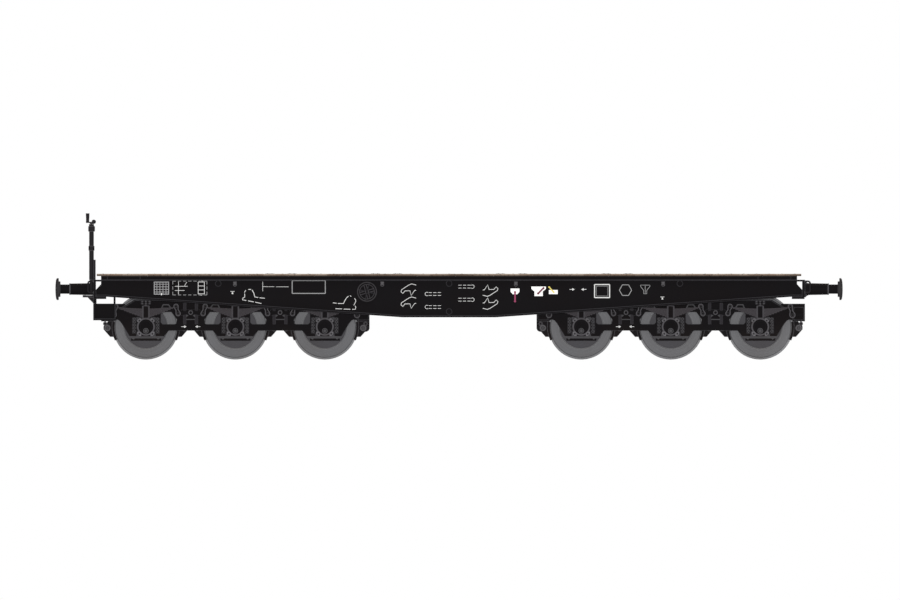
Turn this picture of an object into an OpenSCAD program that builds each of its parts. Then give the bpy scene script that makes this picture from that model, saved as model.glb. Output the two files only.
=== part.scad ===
// Six-axle heavy flat wagon: fishbelly side sills, timber floor, two three-axle plate-frame bogies.
// X runs along the track with the hand brake at -X, Z is up, and Z = 0 is at the tips of the wheel flanges.

/* [Underframe] */
// Length over the buffer faces
length_over_buffers = 13200; // [12600:10:14000]
// From the headstock's face to the buffer's face
buffer_projection = 640; // [600:5:700]
// Height of the floor's top over the flange tips
floor_z = 1438; // [1410:1:1500]
// Width of the timber floor
floor_w = 3100; // [3000:10:3150]
// Thickness of a floor plank
plank_t = 38; // [30:1:50]
// Number of floor planks, laid across
plank_count = 55; // [45:2:65]
// Height of the bearers that carry the planks
bearer_h = 62; // [50:1:80]
// Height of the buffers over the flange tips
buffer_z = 1181; // [1165:1:1190]

/* [Side sills] */
// Width across the two sill webs, outside
sill_spread = 2812; // [2760:2:2860]
// Thickness of a sill web
sill_web_t = 12; // [10:1:16]
// Width of a sill flange
sill_flange_w = 140; // [120:2:150]
// Thickness of a sill's bottom flange
sill_flange_t = 30; // [20:1:34]
// Thickness of a sill's top flange
sill_top_t = 12; // [10:1:20]
// Depth of a sill at the headstock
sill_end_depth = 286; // [276:1:300]
// Depth of a sill in its belly
sill_mid_depth = 630; // [500:1:660]
// Half length of the belly's level stretch
belly_half = 785; // [600:5:1000]
// From the headstock to where the belly starts
belly_start = 180; // [175:5:600]

/* [Bogies] */
// Distance between the two bogie pivots
pivot_spacing = 7300; // [7200:10:7500]
// How far the pivots' middle lies from the wagon's, away from the hand brake
bogie_shift = 67; // [0:1:80]
// Distance from one axle to the next
axle_spacing = 1500; // [1460:5:1540]
// From an outer axle to the bogie's end
bogie_overhang = 750; // [745:5:800]
// From the wagon's middle line to a side plate's outer face
side_plate_y = 925; // [915:1:930]
// Thickness of a side plate
side_plate_t = 25; // [16:1:30]
// Height of the side plate's top over the axles
side_plate_up = 452; // [445:1:460]
// Width of a transom between two axles
transom_w = 200; // [160:5:220]

/* [Wheelsets] */
// Diameter of a wheel on its tread
tread_d = 1030; // [1000:2:1040]
// Height of the wheel's flange
flange_h = 35; // [28:1:36]
// Width of a wheel's rim
rim_w = 135; // [130:1:140]
// Distance between the backs of the two wheels
back_to_back = 1360; // [1354:1:1366]
// Radius of the journal in the axle box
journal_r = 62; // [50:1:70]
// Radius of the axle between its wheels
axle_r = 80; // [70:1:88]
// Radius of the seat that the wheel is pressed on
seat_r = 92; // [90:1:100]

/* [Springs and brakes] */
// Number of leaves in a spring
leaf_count = 10; // [7:1:10]
// Thickness of a leaf
leaf_t = 14.5; // [12:0.5:15]
// Width of a leaf
leaf_w = 100; // [80:2:104]
// From a spring's eye to the middle between two axles
spring_gap = 245; // [230:1:270]
// Rise of a spring's ends over its middle
spring_camber = 30; // [24:1:44]
// Gap between a brake block and the tread
block_gap = 8; // [6:0.5:12]
// Thickness of a brake block
block_t = 46; // [36:1:50]
// Diameter of a brake beam
beam_d = 104; // [70:2:110]

/* [Ends] */
// Diameter of a buffer's head
buffer_head_d = 368; // [340:2:400]
// Distance between the two buffers of one end
buffer_spacing = 1750; // [1740:1:1760]
// Diameter of a buffer's housing
buffer_housing_d = 194; // [180:2:210]
// Height of the hand brake's crank handle over the flange tips
crank_top_z = 2452; // [2300:5:2500]
// Diameter of the hand brake's column
column_d = 78; // [60:2:90]
// Diameter of the hand wheels on the sills
hand_wheel_d = 338; // [300:2:360]

/* [Hidden] */
$fn = 48;
black = [0.07, 0.07, 0.075];
dark = [0.16, 0.16, 0.17];
steel = [0.30, 0.30, 0.31];
timber = [0.45, 0.36, 0.28];
white = [0.88, 0.88, 0.86];
red = [0.55, 0.10, 0.16];

fit = 0.05;         // radial play of a pressed or turned fit
rest_gap = 0.3;     // gap where one piece rests on another of a different body
pin_play = 0.5;     // radial play of a pin that turns in its hole

// Levels, from the floor down
bearer_top = floor_z - plank_t;
frame_top = bearer_top - bearer_h;
sill_end_bottom = frame_top - sill_end_depth;
sill_mid_bottom = frame_top - sill_mid_depth;
axle_z = tread_d / 2 + flange_h;
wheel_top = 2 * axle_z;
cross_bottom = wheel_top + 23;      // underside of what crosses over the wheels

// Lengths from the wagon's middle
headstock_out = length_over_buffers / 2 - buffer_projection;
headstock_d = 40;
headstock_in = headstock_out - headstock_d;
sill_y = sill_spread / 2 - sill_web_t / 2;      // middle of a sill's web
sill_flange_in = sill_y - sill_flange_w / 2;
sill_flange_out = sill_y + sill_flange_w / 2;
web_out_y = sill_y + sill_web_t / 2;
web_in_y = sill_y - sill_web_t / 2;
bearer_half = headstock_in - 85;
floor_half = headstock_in - 14;
bogie_half = axle_spacing + bogie_overhang;
pivots = [bogie_shift - pivot_spacing / 2, bogie_shift + pivot_spacing / 2];

// A profile in X and Z, carried along Y from y0 over a width w
module along_y(y0, w) {
    translate([0, y0 + w, 0]) rotate([90, 0, 0]) linear_extrude(w) children();
}

// A rod along Y
module rod_y(x, z, r, y0, w) {
    translate([x, y0, z]) rotate([-90, 0, 0]) cylinder(r = r, h = w);
}

// A rod along X
module rod_x(x0, y, z, r, l) {
    translate([x0, y, z]) rotate([0, 90, 0]) cylinder(r = r, h = l);
}

// A box given by its lowest and highest corners
module block(lo, hi) {
    translate(lo) cube(hi - lo);
}

module both_sides() {
    children();
    mirror([0, 1, 0]) children();
}

module both_ends() {
    children();
    mirror([1, 0, 0]) children();
}

// A flat link with two round eyes, as a profile
module link_profile(a, b, r, w) {
    d = b - a;
    translate(a) circle(r = r);
    translate(b) circle(r = r);
    translate(a) rotate(atan2(d[1], d[0])) translate([0, -w / 2]) square([norm(d), w]);
}

// Side sills: a plate girder with a fishbelly
function belly_z(x) =
    abs(x) <= belly_half ? sill_mid_bottom
    : abs(x) >= headstock_in - belly_start ? sill_end_bottom
    : sill_mid_bottom + (abs(x) - belly_half) * (sill_end_depth - sill_mid_depth)
        / (belly_half - (headstock_in - belly_start));
belly_x = [-headstock_in, -(headstock_in - belly_start), -belly_half,
           belly_half, headstock_in - belly_start, headstock_in];
belly_line = [for (x = belly_x) [x, belly_z(x)]];
// The web stops short of the headstock in a corner cut that leaves the end open
cut_fall = 92;
cut_drop = 44;
cut_line = [[headstock_in, frame_top - sill_flange_t - cut_drop - cut_fall],
            [bearer_half, frame_top - sill_flange_t - cut_drop],
            [bearer_half, frame_top - sill_top_t]];

module sill_web_profile() {
    polygon(concat(belly_line, cut_line,
        [for (i = [2:-1:0]) [-cut_line[i][0], cut_line[i][1]]]));
}

module sill_belly_flange_profile() {
    polygon(concat(belly_line, [for (i = [5:-1:0]) belly_line[i] + [0, sill_flange_t]]));
}

stiffener_x = [-2400, -1180, -390, 390, 1180, 2400];
disc_r = 48;
disc_x = headstock_in - 2050;
module side_sill() {
    color(black) {
        along_y(web_in_y, sill_web_t) sill_web_profile();
        along_y(sill_flange_in, sill_flange_w) sill_belly_flange_profile();
        block([-headstock_in, sill_flange_in, frame_top - sill_top_t],
              [headstock_in, sill_flange_out, frame_top]);
        both_ends() block([bearer_half, sill_flange_in, frame_top - sill_flange_t],
                          [headstock_in, sill_flange_out, frame_top]);
        for (x = stiffener_x)
            block([x - 6, sill_flange_in + 10, belly_z(x) + sill_flange_t - 8],
                  [x + 6, web_in_y, frame_top - sill_top_t]);
        for (x = [-disc_x, disc_x]) rod_y(x, frame_top - 63, disc_r, web_out_y, 8);
        for (z = [frame_top - 63, sill_mid_bottom + 97]) rod_y(0, z, disc_r, web_out_y, 8);
    }
}

// Two inner sills, cut where the body bolsters pass through them
centre_y = 350;
centre_w = 70;
centre_flange_t = 14;
centre_web_t = 10;
bolster_half = 150;
module centre_sill_section() {
    translate([-centre_w / 2, cross_bottom]) square([centre_w, centre_flange_t]);
    translate([-centre_w / 2, frame_top - centre_flange_t]) square([centre_w, centre_flange_t]);
    translate([-centre_web_t / 2, cross_bottom]) square([centre_web_t, frame_top - cross_bottom]);
}

module centre_sills() {
    color(black) both_sides() difference() {
        translate([-headstock_in, centre_y, 0]) rotate([90, 0, 90])
            linear_extrude(2 * headstock_in) centre_sill_section();
        for (p = pivots)
            block([p - bolster_half, centre_y - centre_w, cross_bottom - 1],
                  [p + bolster_half, centre_y + centre_w, frame_top + 1]);
        both_ends() along_y(centre_y - centre_w, 2 * centre_w)
            polygon([cut_line[0], cut_line[1], [bearer_half, frame_top - sill_flange_t],
                     [headstock_in + 1, frame_top - sill_flange_t], [headstock_in + 1, cut_line[0][1]]]);
    }
}

// Cross bearers: [place along the wagon, underside]; the deep ones tie the bellies together
bay = axle_spacing / 2;
deep_bottom = sill_mid_bottom + 92;
bearer_table = [[-headstock_in + 520, cross_bottom], [pivots[0] - bay, cross_bottom],
                [pivots[0] + bay, cross_bottom], [-2 * belly_half, axle_z + 450],
                [-belly_half, deep_bottom], [0, deep_bottom], [belly_half, deep_bottom],
                [2 * belly_half, axle_z + 450], [pivots[1] - bay, cross_bottom],
                [pivots[1] + bay, cross_bottom], [headstock_in - 520, cross_bottom]];
bearer_web_t = 10;
bearer_flange_w = 90;
bearer_flange_t = 12;
module cross_bearer(x, bottom) {
    y = web_in_y - fit;
    difference() {
        union() {
            block([x - bearer_web_t / 2, -y, bottom], [x + bearer_web_t / 2, y, frame_top - sill_top_t]);
            block([x - bearer_web_t / 2, -sill_flange_in + fit, bottom],
                  [x + bearer_web_t / 2, sill_flange_in - fit, frame_top]);
            block([x - bearer_flange_w / 2, -sill_flange_in + fit, bottom],
                  [x + bearer_flange_w / 2, sill_flange_in - fit, bottom + bearer_flange_t]);
            block([x - bearer_flange_w / 2, -sill_flange_in + fit, frame_top - bearer_flange_t],
                  [x + bearer_flange_w / 2, sill_flange_in - fit, frame_top]);
        }
        both_sides() block([x - bearer_flange_w, centre_y - centre_w / 2, cross_bottom],
                           [x + bearer_flange_w, centre_y + centre_w / 2, frame_top + 1]);
        if (bottom < cross_bottom - 150)
            for (y = [-1, 0, 1] * 700) translate([x - bearer_flange_w, y, (bottom + cross_bottom) / 2])
                rotate([0, 90, 0]) cylinder(r = 90, h = 2 * bearer_flange_w);
        if (bottom < cross_bottom) rod_x(x - bearer_flange_w, pipe_y, pipe_z, pipe_r + 8, 2 * bearer_flange_w);
    }
}

module cross_bearers() {
    color(black) for (b = bearer_table) cross_bearer(b[0], b[1]);
}

// Body bolsters with the centre pivots and side bearers
pivot_r = 170;
pin_r = 60;
bearing_y = 940;
bearing_half = [100, 60];
cup_top = axle_z + side_plate_up + 2;
side_bearing_top = cup_top + 58;
module body_bolster() {
    block([-bolster_half, -sill_flange_in + fit, cross_bottom],
          [bolster_half, sill_flange_in - fit, frame_top]);
    both_sides() block([-bolster_half, 0, cross_bottom],
                       [bolster_half, web_in_y - fit, frame_top - sill_top_t]);
    translate([0, 0, cup_top + rest_gap]) cylinder(r = pivot_r, h = cross_bottom - cup_top - rest_gap);
    translate([0, 0, cup_top - 90]) cylinder(r = pin_r, h = 100);
    both_sides() block([-bearing_half[0], bearing_y - bearing_half[1], side_bearing_top + 5],
                       [bearing_half[0], bearing_y + bearing_half[1], cross_bottom]);
}

module body_bolsters() {
    color(black) for (p = pivots) translate([p, 0, 0]) body_bolster();
}

// Headstocks: a pressed channel, its lips facing inwards, closed at its ends, with corner plates under the sills
headstock_y = sill_flange_out;
headstock_web_t = 20;
gusset_l = 213;
gusset_t = 37;
hook_slot = 36;
module headstock() {
    color(black) {
        difference() {
            union() {
                block([headstock_out - headstock_web_t, -headstock_y, sill_end_bottom],
                      [headstock_out, headstock_y, frame_top]);
                for (z = [sill_end_bottom, frame_top - headstock_web_t])
                    block([headstock_in, -headstock_y, z],
                          [headstock_out, headstock_y, z + headstock_web_t]);
                both_sides() block([headstock_in, headstock_y - headstock_web_t, sill_end_bottom],
                                   [headstock_out, headstock_y, frame_top]);
            }
            block([headstock_in - 1, -hook_slot, buffer_z - hook_slot],
                  [headstock_out + 1, hook_slot, buffer_z + hook_slot]);
            rod_x(headstock_in - 1, pipe_y, pipe_z, pipe_r + fit, headstock_d + 2);
        }
        both_sides() translate([0, 0, sill_end_bottom - gusset_t]) linear_extrude(gusset_t)
            polygon([[headstock_out, headstock_y], [headstock_out - gusset_l, headstock_y],
                     [headstock_out - gusset_l, sill_flange_in], [headstock_out - headstock_d, sill_flange_in - 230],
                     [headstock_out, sill_flange_in - 230]]);
    }
}

// Floor bearers: steel channels along the edges, timber stringers between them
stringer_w = 70;
channel_t = 10;
seam_x = [5180, 5730];
module floor_bearers() {
    color(black) both_sides() {
        difference() {
            block([-bearer_half, sill_y, frame_top], [bearer_half, sill_flange_out, bearer_top]);
            block([-bearer_half - 1, sill_y - 1, frame_top + channel_t],
                  [bearer_half + 1, sill_flange_out - channel_t, bearer_top - channel_t]);
            both_ends() for (x = seam_x)
                block([x - 3, sill_flange_out - 3, frame_top - 1], [x + 3, sill_flange_out + 1, bearer_top + 1]);
        }
        for (y = [centre_y, (centre_y + sill_y) / 2])
            block([-bearer_half, y - stringer_w / 2, frame_top],
                  [bearer_half, y + stringer_w / 2, bearer_top]);
    }
}

// Floor planks, laid across and tongued together, with an open joint line between them
plank_w = 2 * floor_half / plank_count;
joint_w = 6;
joint_d = 9;
module floor_planks() {
    color(timber) difference() {
        block([-floor_half, -floor_w / 2, bearer_top], [floor_half, floor_w / 2, floor_z]);
        for (i = [1:plank_count - 1])
            block([-floor_half + i * plank_w - joint_w / 2, -floor_w / 2 - 1, floor_z - joint_d],
                  [-floor_half + i * plank_w + joint_w / 2, floor_w / 2 + 1, floor_z + 1]);
    }
}

// Low lashing plates in pairs along both edges of the floor
lash_x = [-2818, -1048, 1048, 2818];
lash_pitch = 370;
lash_half = [82, 62];
lash_h = 4;
module lashing_plates() {
    color(dark) both_sides() for (x = lash_x, s = [-0.5, 0.5])
        translate([x + s * lash_pitch, floor_w / 2 - lash_half[1] - 24, 0])
            along_y(-lash_half[1], 2 * lash_half[1])
                polygon([[-lash_half[0], floor_z], [lash_half[0], floor_z],
                         [lash_half[0] - 2 * lash_h, floor_z + lash_h],
                         [-lash_half[0] + 2 * lash_h, floor_z + lash_h]]);
}

// Buffers: a housing bolted to the headstock and a ram with a domed head
housing_l = 407;
base_half = 138;
base_t = 20;
ram_r = 78;
neck_r = 130;
neck_t = 27;
head_t = 57;
ram_back = 40;
module buffer_housing() {
    rotate([0, 90, 0]) rotate_extrude() polygon([
        [ram_r + 1, base_t + 1], [ram_r + 1, housing_l], [buffer_housing_d / 2, housing_l],
        [buffer_housing_d / 2, housing_l - 16], [buffer_housing_d / 2 - 4, housing_l - 20],
        [buffer_housing_d / 2 + 3, base_t + 34], [base_half - 14, base_t], [base_half - 14, base_t - 1],
        [0, base_t - 1], [0, base_t + 1]]);
    block([0, -base_half, -base_half], [base_t, base_half, base_half]);
}

module buffer_head() {
    r = buffer_head_d / 2;
    dome = concat([for (k = [0:5]) [(r - 24) * (1 - k / 6), buffer_projection - 13 * pow(1 - k / 5, 2)]],
                  [[0, buffer_projection]]);
    rotate([0, 90, 0]) rotate_extrude() polygon(concat(
        [[0, housing_l - ram_back], [ram_r, housing_l - ram_back],
         [ram_r, buffer_projection - head_t - neck_t - 1], [neck_r - 4, buffer_projection - head_t - neck_t],
         [neck_r, buffer_projection - head_t - neck_t + 4], [neck_r, buffer_projection - head_t],
         [r - 4, buffer_projection - head_t + 1], [r, buffer_projection - head_t + 6],
         [r, buffer_projection - 31], [r - 5, buffer_projection - 22]], dome));
}

module each_buffer() {
    both_ends() for (y = [-1, 1] * buffer_spacing / 2)
        translate([headstock_out, y, buffer_z]) children();
}

module buffer_housings() {
    color(black) each_buffer() buffer_housing();
}

module buffer_heads() {
    color(dark) each_buffer() buffer_head();
}

// Draw hooks: a forged hook on a square shank that passes through the headstock
hook_t = 60;
hook_pin_r = 28;
hook_pin_x = 62;
hook_reach = 300;
shank_l = 40;
module hook_profile() {
    difference() {
        union() {
            translate([-shank_l, -30]) square([shank_l + 30, 60]);
            polygon([[10, -52], [150, -62], [175, -30], [150, 46], [90, 52], [10, 50]]);
            translate([hook_reach - 85, 0]) circle(r = 85);
            polygon([[130, -62], [hook_reach - 85, -85], [hook_reach - 85, 0], [130, 30]]);
        }
        translate([hook_reach - 95, 32]) circle(r = 40);
        polygon([[hook_reach - 135, 32], [hook_reach - 55, 32], [hook_reach - 78, 110], [hook_reach - 150, 110]]);
        translate([hook_pin_x, 0]) circle(r = hook_pin_r);
    }
}

module draw_hooks() {
    color(dark) both_ends() translate([headstock_out, 0, buffer_z]) {
        along_y(-hook_t / 2, hook_t) hook_profile();
        translate([-headstock_web_t - fit, 0, 0]) rotate([0, -90, 0]) cylinder(r = 62, h = headstock_d - headstock_web_t - fit);
    }
}

// Grab rails for the shunter at the headstock's corners
rail_r = 14;
rail_y = 1330;
rail_out = 92;
rail_bend = 34;
rail_ends = [frame_top - 26, sill_end_bottom + 70];
module grab_rail() {
    top = rail_ends[0];
    low = rail_ends[1];
    for (z = rail_ends) rod_x(0, 0, z, rail_r, rail_out - rail_bend);
    translate([rail_out, 0, low + rail_bend]) cylinder(r = rail_r, h = top - low - 2 * rail_bend);
    translate([rail_out - rail_bend, 0, top - rail_bend]) rotate([90, 0, 0])
        rotate_extrude(angle = 90) translate([rail_bend, 0]) circle(r = rail_r);
    translate([rail_out - rail_bend, 0, low + rail_bend]) rotate([-90, 0, 0])
        rotate_extrude(angle = 90) translate([rail_bend, 0]) circle(r = rail_r);
    for (z = rail_ends) rod_x(0, 0, z, rail_r + 12, 8);
}

module grab_rails() {
    color(black) both_ends() both_sides()
        translate([headstock_out, rail_y, 0]) grab_rail();
}

// Hand brake: a column in front of the headstock, on a foot plate with a gusset
column_x = -headstock_out - 35;
column_low_d = 66;
column_y = -(buffer_spacing / 2 + base_half + 167);
column_top = crank_top_z - 305;
head_half = [56, 60];
head_h = 88;
foot_top = sill_end_bottom + 28;
foot_l = 182;
post_top = column_top - 473;
module hand_brake_column() {
    color(black) {
        translate([column_x, column_y, foot_top]) cylinder(d = column_low_d, h = frame_top + 10 - foot_top);
        translate([column_x, column_y, frame_top + 1]) cylinder(d = column_d, h = column_top - frame_top - 1);
        block([column_x + 2 - head_half[0], column_y - head_half[1], column_top],
              [column_x + 2 + head_half[0], column_y + head_half[1], column_top + head_h]);
        translate([column_x, column_y, column_top + head_h]) cylinder(r = 42, h = 35);
        translate([column_x, column_y, post_top + 154]) cylinder(r = column_d / 2 + 11, h = 75);
        block([-headstock_out, column_y - 70, frame_top], [-headstock_in - 5, column_y + 70, post_top]);
        block([-headstock_out - column_d / 2, column_y - 12, frame_top + 40],
              [-headstock_out + 4, column_y + 12, post_top - 30]);
        block([-headstock_out - foot_l, column_y - 210, foot_top - 38],
              [-headstock_out, column_y + 160, foot_top]);
        both_brackets() along_y(0, 14)
            polygon([[-headstock_out, foot_top - 38], [-headstock_out - 100, foot_top - 38],
                     [-headstock_out, sill_end_bottom - 112]]);
    }
}

module both_brackets() {
    for (s = [-200, 136]) translate([0, column_y + s, 0]) children();
}

// Crank: a cranked arm with an upright handle and a counterweight ball
crank_r = 220;
crank_turn = 253;
ball_reach = 134;
ball_r = 36;
module hand_brake_crank() {
    hub = column_top + head_h + 35;
    arm_z = crank_top_z - 152;
    color(black) translate([column_x, column_y, 0]) {
        translate([0, 0, hub]) cylinder(r = 20, h = arm_z - hub);
        translate([0, 0, arm_z - 26]) cylinder(r = 31, h = 36);
        rotate([0, 0, crank_turn]) {
            block([0, -14, arm_z - 10], [crank_r, 14, arm_z + 6]);
            translate([crank_r, 0, arm_z - 10]) cylinder(r = 28, h = 36);
            translate([crank_r, 0, arm_z + 26]) cylinder(r1 = 26, r2 = 31, h = crank_top_z - arm_z - 26);
        }
        rotate([0, 0, crank_turn + 180]) {
            block([0, -12, arm_z - 10], [ball_reach, 12, arm_z + 6]);
            translate([ball_reach, 0, arm_z + 10]) sphere(r = ball_r);
        }
    }
}

// Steps under the brake end, one each side
step_l = 375;
step_top = 938;
step_bottom = 658;
step_d = 130;
step_y = sill_flange_in + 6;
module end_step() {
    x0 = -headstock_out - 6;
    difference() {
        block([x0, step_y, step_bottom], [x0 + step_l, step_y + step_d, step_top]);
        block([x0 + 12, step_y + 8, step_bottom + 26], [x0 + step_l - 12, step_y + step_d + 1, step_top + 1]);
        block([x0 - 1, step_y + 60, step_bottom + 60], [x0 + step_l + 1, step_y + step_d + 1, step_top + 1]);
    }
    block([x0, step_y, step_top], [x0 + 56, step_y + 16, sill_end_bottom - gusset_t]);
    x1 = x0 + step_l;
    along_y(step_y, 16) polygon([[x1 - 34, step_top], [x1, step_top], [x1, belly_z(x1)], [x1 - 34, belly_z(x1 - 34)]]);
}

module end_steps() {
    color(black) both_sides() end_step();
}

// Hand wheels of the parking brake, one on each sill
hand_wheel_x = -(belly_half + 591);
hand_wheel_z = frame_top - 201;
hand_wheel_y = web_out_y + 40;
spoke_turn = 14;
module side_hand_wheel() {
    translate([hand_wheel_x, hand_wheel_y, hand_wheel_z]) rotate([-90, 0, 0]) {
        rotate_extrude() translate([hand_wheel_d / 2 - 11, 0]) circle(r = 11);
        translate([0, 0, -14]) cylinder(r = 30, h = 30);
        translate([0, 0, web_out_y - hand_wheel_y]) cylinder(r = 16, h = hand_wheel_y - web_out_y);
        for (a = [0:90:270]) rotate([0, 0, a + spoke_turn])
            block([20, -8, -6], [hand_wheel_d / 2 - 11, 8, 6]);
    }
}

module side_hand_wheels() {
    color(dark) both_sides() side_hand_wheel();
}

// Rope hooks: a lug on the web with a hanging ring
rope_x = [-1, 1] * (belly_half + 335);
rope_far_x = [-1, 1] * (headstock_in - 2330);
module rope_hook() {
    block([-28, 0, -22], [28, 8, 34]);
    block([-9, 8, -6], [9, 30, 22]);
    translate([0, 19, -16]) rotate([0, 32, 0]) rotate([90, 0, 0])
        rotate_extrude() translate([26, 0]) circle(r = 6);
}

module rope_hooks() {
    color(dark) both_sides() for (x = concat(rope_x, rope_far_x))
        translate([x, web_out_y, frame_top - 66]) rope_hook();
}

// Brake control levers in front of painted plates: release, load and goods levers
plate_t = 6;
release_x = belly_half + 321;
load_x = release_x + 396;
goods_x = load_x + 246;
module release_plate() {
    polygon([[-74, 36], [74, 36], [74, -20], [36, -60], [-36, -60], [-74, -20]]);
}

module load_plate() {
    polygon([[-122, 78], [122, 78], [122, 40], [70, -6], [70, -82], [-70, -82], [-70, -6], [-122, 40]]);
}

module goods_plate() {
    polygon([[-74, 36], [74, 36], [74, -34], [-74, -34]]);
}

module lever(a, b, r, w) {
    along_y(plate_t, 12) link_profile(a, b, r, w);
    rod_y(a[0], a[1], 12, 0, plate_t + 22);
}

module control_levers() {
    both_sides() translate([0, web_out_y, 0]) {
        translate([release_x, 0, frame_top - 183]) {
            color(white) along_y(0, plate_t) release_plate();
            color(red) lever([0, -24], [0, -178], 18, 26);
        }
        translate([load_x, 0, frame_top - 192]) {
            color(white) along_y(0, plate_t) load_plate();
            color(red) lever([-8, -38], [80, 52], 18, 26);
        }
        translate([goods_x, 0, frame_top - 207]) {
            color(white) along_y(0, plate_t) goods_plate();
            color("gold") lever([8, -2], [-70, 84], 14, 20);
        }
    }
}

// Wire-mesh note holders
note_x = -(headstock_in - 1098);
note_z = 1198;
note_half = [127, 108];
wire_w = 9;
note_bars = 5;
module note_holder() {
    translate([note_x, web_out_y, note_z]) {
        for (s = [-1, 1]) {
            block([s * (note_half[0] - 7) - 7, 0, -note_half[1]], [s * (note_half[0] - 7) + 7, 22, note_half[1]]);
            block([-note_half[0], 0, s * (note_half[1] - 7) - 7], [note_half[0], 22, s * (note_half[1] - 7) + 7]);
        }
        for (i = [1:note_bars - 1]) {
            x = -note_half[0] + 2 * note_half[0] * i / note_bars;
            z = -note_half[1] + 2 * note_half[1] * i / note_bars;
            block([x - wire_w / 2, 10, -note_half[1] + 2], [x + wire_w / 2, 18, note_half[1] - 2]);
            block([-note_half[0] + 2, 10, z - wire_w / 2], [note_half[0] - 2, 18, z + wire_w / 2]);
        }
    }
}

module note_holders() {
    color(white) {
        mirror([0, 1, 0]) note_holder();
        mirror([1, 0, 0]) note_holder();
    }
}

// Air brake: cylinder, reservoirs, pipe and rigging, hung between the bogies
cylinder_r = 190;
cylinder_c = [330, 560, 985];
module brake_cylinder() {
    color(black) translate([cylinder_c[0], cylinder_c[1], cylinder_c[2]]) rotate([0, 90, 0]) {
        rotate_extrude() polygon([[0, -270], [cylinder_r - 60, -270], [cylinder_r - 12, -240], [cylinder_r - 12, 180],
            [cylinder_r + 18, 180], [cylinder_r + 18, 222], [cylinder_r - 70, 240], [60, 300], [32, 300],
            [32, 380], [0, 380]]);
    }
    color(black) for (x = [-180, 120])
        block([cylinder_c[0] + x - 8, centre_y + centre_web_t / 2 + fit, cross_bottom + centre_flange_t + 1],
              [cylinder_c[0] + x + 8, cylinder_c[1] + 60, frame_top - 60]);
}

tank_r = 185;
tank_l = 690;
tanks = [[-belly_half / 2, 620, 960], [-belly_half / 2, -620, 960]];
module air_reservoirs() {
    color(black) for (t = tanks) {
        tank_end = belly_half / 2 - bearer_web_t / 2 - fit;
        block([t[0] - tank_end, t[1] - 70, t[2] - 12], [t[0] + tank_end, t[1] + 70, t[2] + 12]);
        translate([t[0] - tank_l / 2, t[1], t[2]]) rotate([0, 90, 0]) rotate_extrude()
            polygon([[0, 0], [tank_r * 0.55, 14], [tank_r * 0.9, 52], [tank_r, 96], [tank_r, tank_l - 96],
                     [tank_r * 0.9, tank_l - 52], [tank_r * 0.55, tank_l - 14], [0, tank_l]]);
    }
}

pipe_r = 21;
pipe_y = 200;
pipe_z = cross_bottom - pipe_r - fit;
cock_l = 72;
module brake_pipe() {
    color(black) {
        rod_x(-headstock_out - cock_l, pipe_y, pipe_z, pipe_r, 2 * (headstock_out + cock_l));
        both_ends() rod_x(headstock_out + cock_l - 34, pipe_y, pipe_z, pipe_r + 9, 24);
    }
}

// Rigging: a cross shaft in two hangers, levers on it and pull rods towards both bogies
shaft_x = pivots[1] - bogie_half - 300;
shaft_z = 930;
module brake_rigging() {
    color(black) {
        rod_y(shaft_x, shaft_z, 32, -centre_y - 30, cylinder_c[1] + centre_y + 60);
        both_sides() block([shaft_x - 60, centre_y - 8, shaft_z - 50], [shaft_x + 60, centre_y + 8, cross_bottom - fit]);
        along_y(-12, 24) link_profile([shaft_x, shaft_z - 150], [shaft_x, shaft_z + 70], 40, 60);
        along_y(cylinder_c[1] - 12, 24) link_profile([shaft_x, shaft_z], [shaft_x, cylinder_c[2]], 40, 60);
        rod_x(-belly_half, 0, shaft_z - 155, 18, shaft_x + belly_half);
        block([-belly_half - 15, -25, shaft_z - 170], [-belly_half + 15, 25, deep_bottom - fit]);
    }
}

// Bogies, drawn about their own middle
plate_in = side_plate_y - side_plate_t;
plate_top = axle_z + side_plate_up;
axles = [-axle_spacing, 0, axle_spacing];
guard_half = 303;
guard_bottom = axle_z - 161;
web_bottom = axle_z - 65;
slot_half = 160;
box_top = axle_z + 140;
box_bottom = axle_z - 156;
end_top = axle_z + 386;
end_bottom = axle_z + 90;
spring_half = axle_spacing / 2 - spring_gap;
spring_y = 1000;
spring_mid_top = box_top + 165;
eye_z = spring_mid_top + spring_camber + 7;
eye_r = 30;
link_low = [spring_half + 36, axle_z + 220];
end_link_low = [spring_half + 35, axle_z + 197];
lever_z = axle_z + 238;

// Beyond an outer axle the side plate's top slopes down to the end beam, and its lip runs on below that
slope_from = 198;
slope_to = 345;
lip_end = 439;
lip_t = 12;
slope_lip_t = 22;
function slope_z(d) = plate_top - (d - slope_from) * 0.62;
module lip_profile() {
    s = axle_spacing;
    half = [[0, plate_top], [s + slope_from, plate_top], [s + lip_end, slope_z(lip_end)],
            [s + lip_end - 10, slope_z(lip_end - 10) - slope_lip_t],
            [s + slope_from - (slope_lip_t - lip_t) / 0.62, plate_top - lip_t], [0, plate_top - lip_t]];
    polygon(concat(half, [for (i = [len(half) - 2:-1:1]) [-half[i][0], half[i][1]]]));
}

// Half of the side plate's outline, from the middle axle outwards, then back along the bottom
module side_plate_profile() {
    s = axle_spacing;
    half = concat([[0, plate_top], [s + slope_from, plate_top], [s + slope_to, slope_z(slope_to)], [s + slope_to + 7, end_top], [bogie_half, end_top],
                   [bogie_half, end_bottom], [s + 548, end_bottom], [s + 520, end_bottom + 24], [s + 484, end_bottom + 30],
                   [s + 448, end_bottom + 14], [s + 408, end_bottom - 34], [s + 368, axle_z - 8],
                   [s + guard_half - 28, guard_bottom]],
                  [[s - guard_half, guard_bottom], [s - guard_half - 80, web_bottom],
                   [guard_half + 80, web_bottom], [guard_half, guard_bottom], [0, guard_bottom]]);
    polygon(concat(half, [for (i = [len(half) - 2:-1:1]) [-half[i][0], half[i][1]]]));
}

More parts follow.
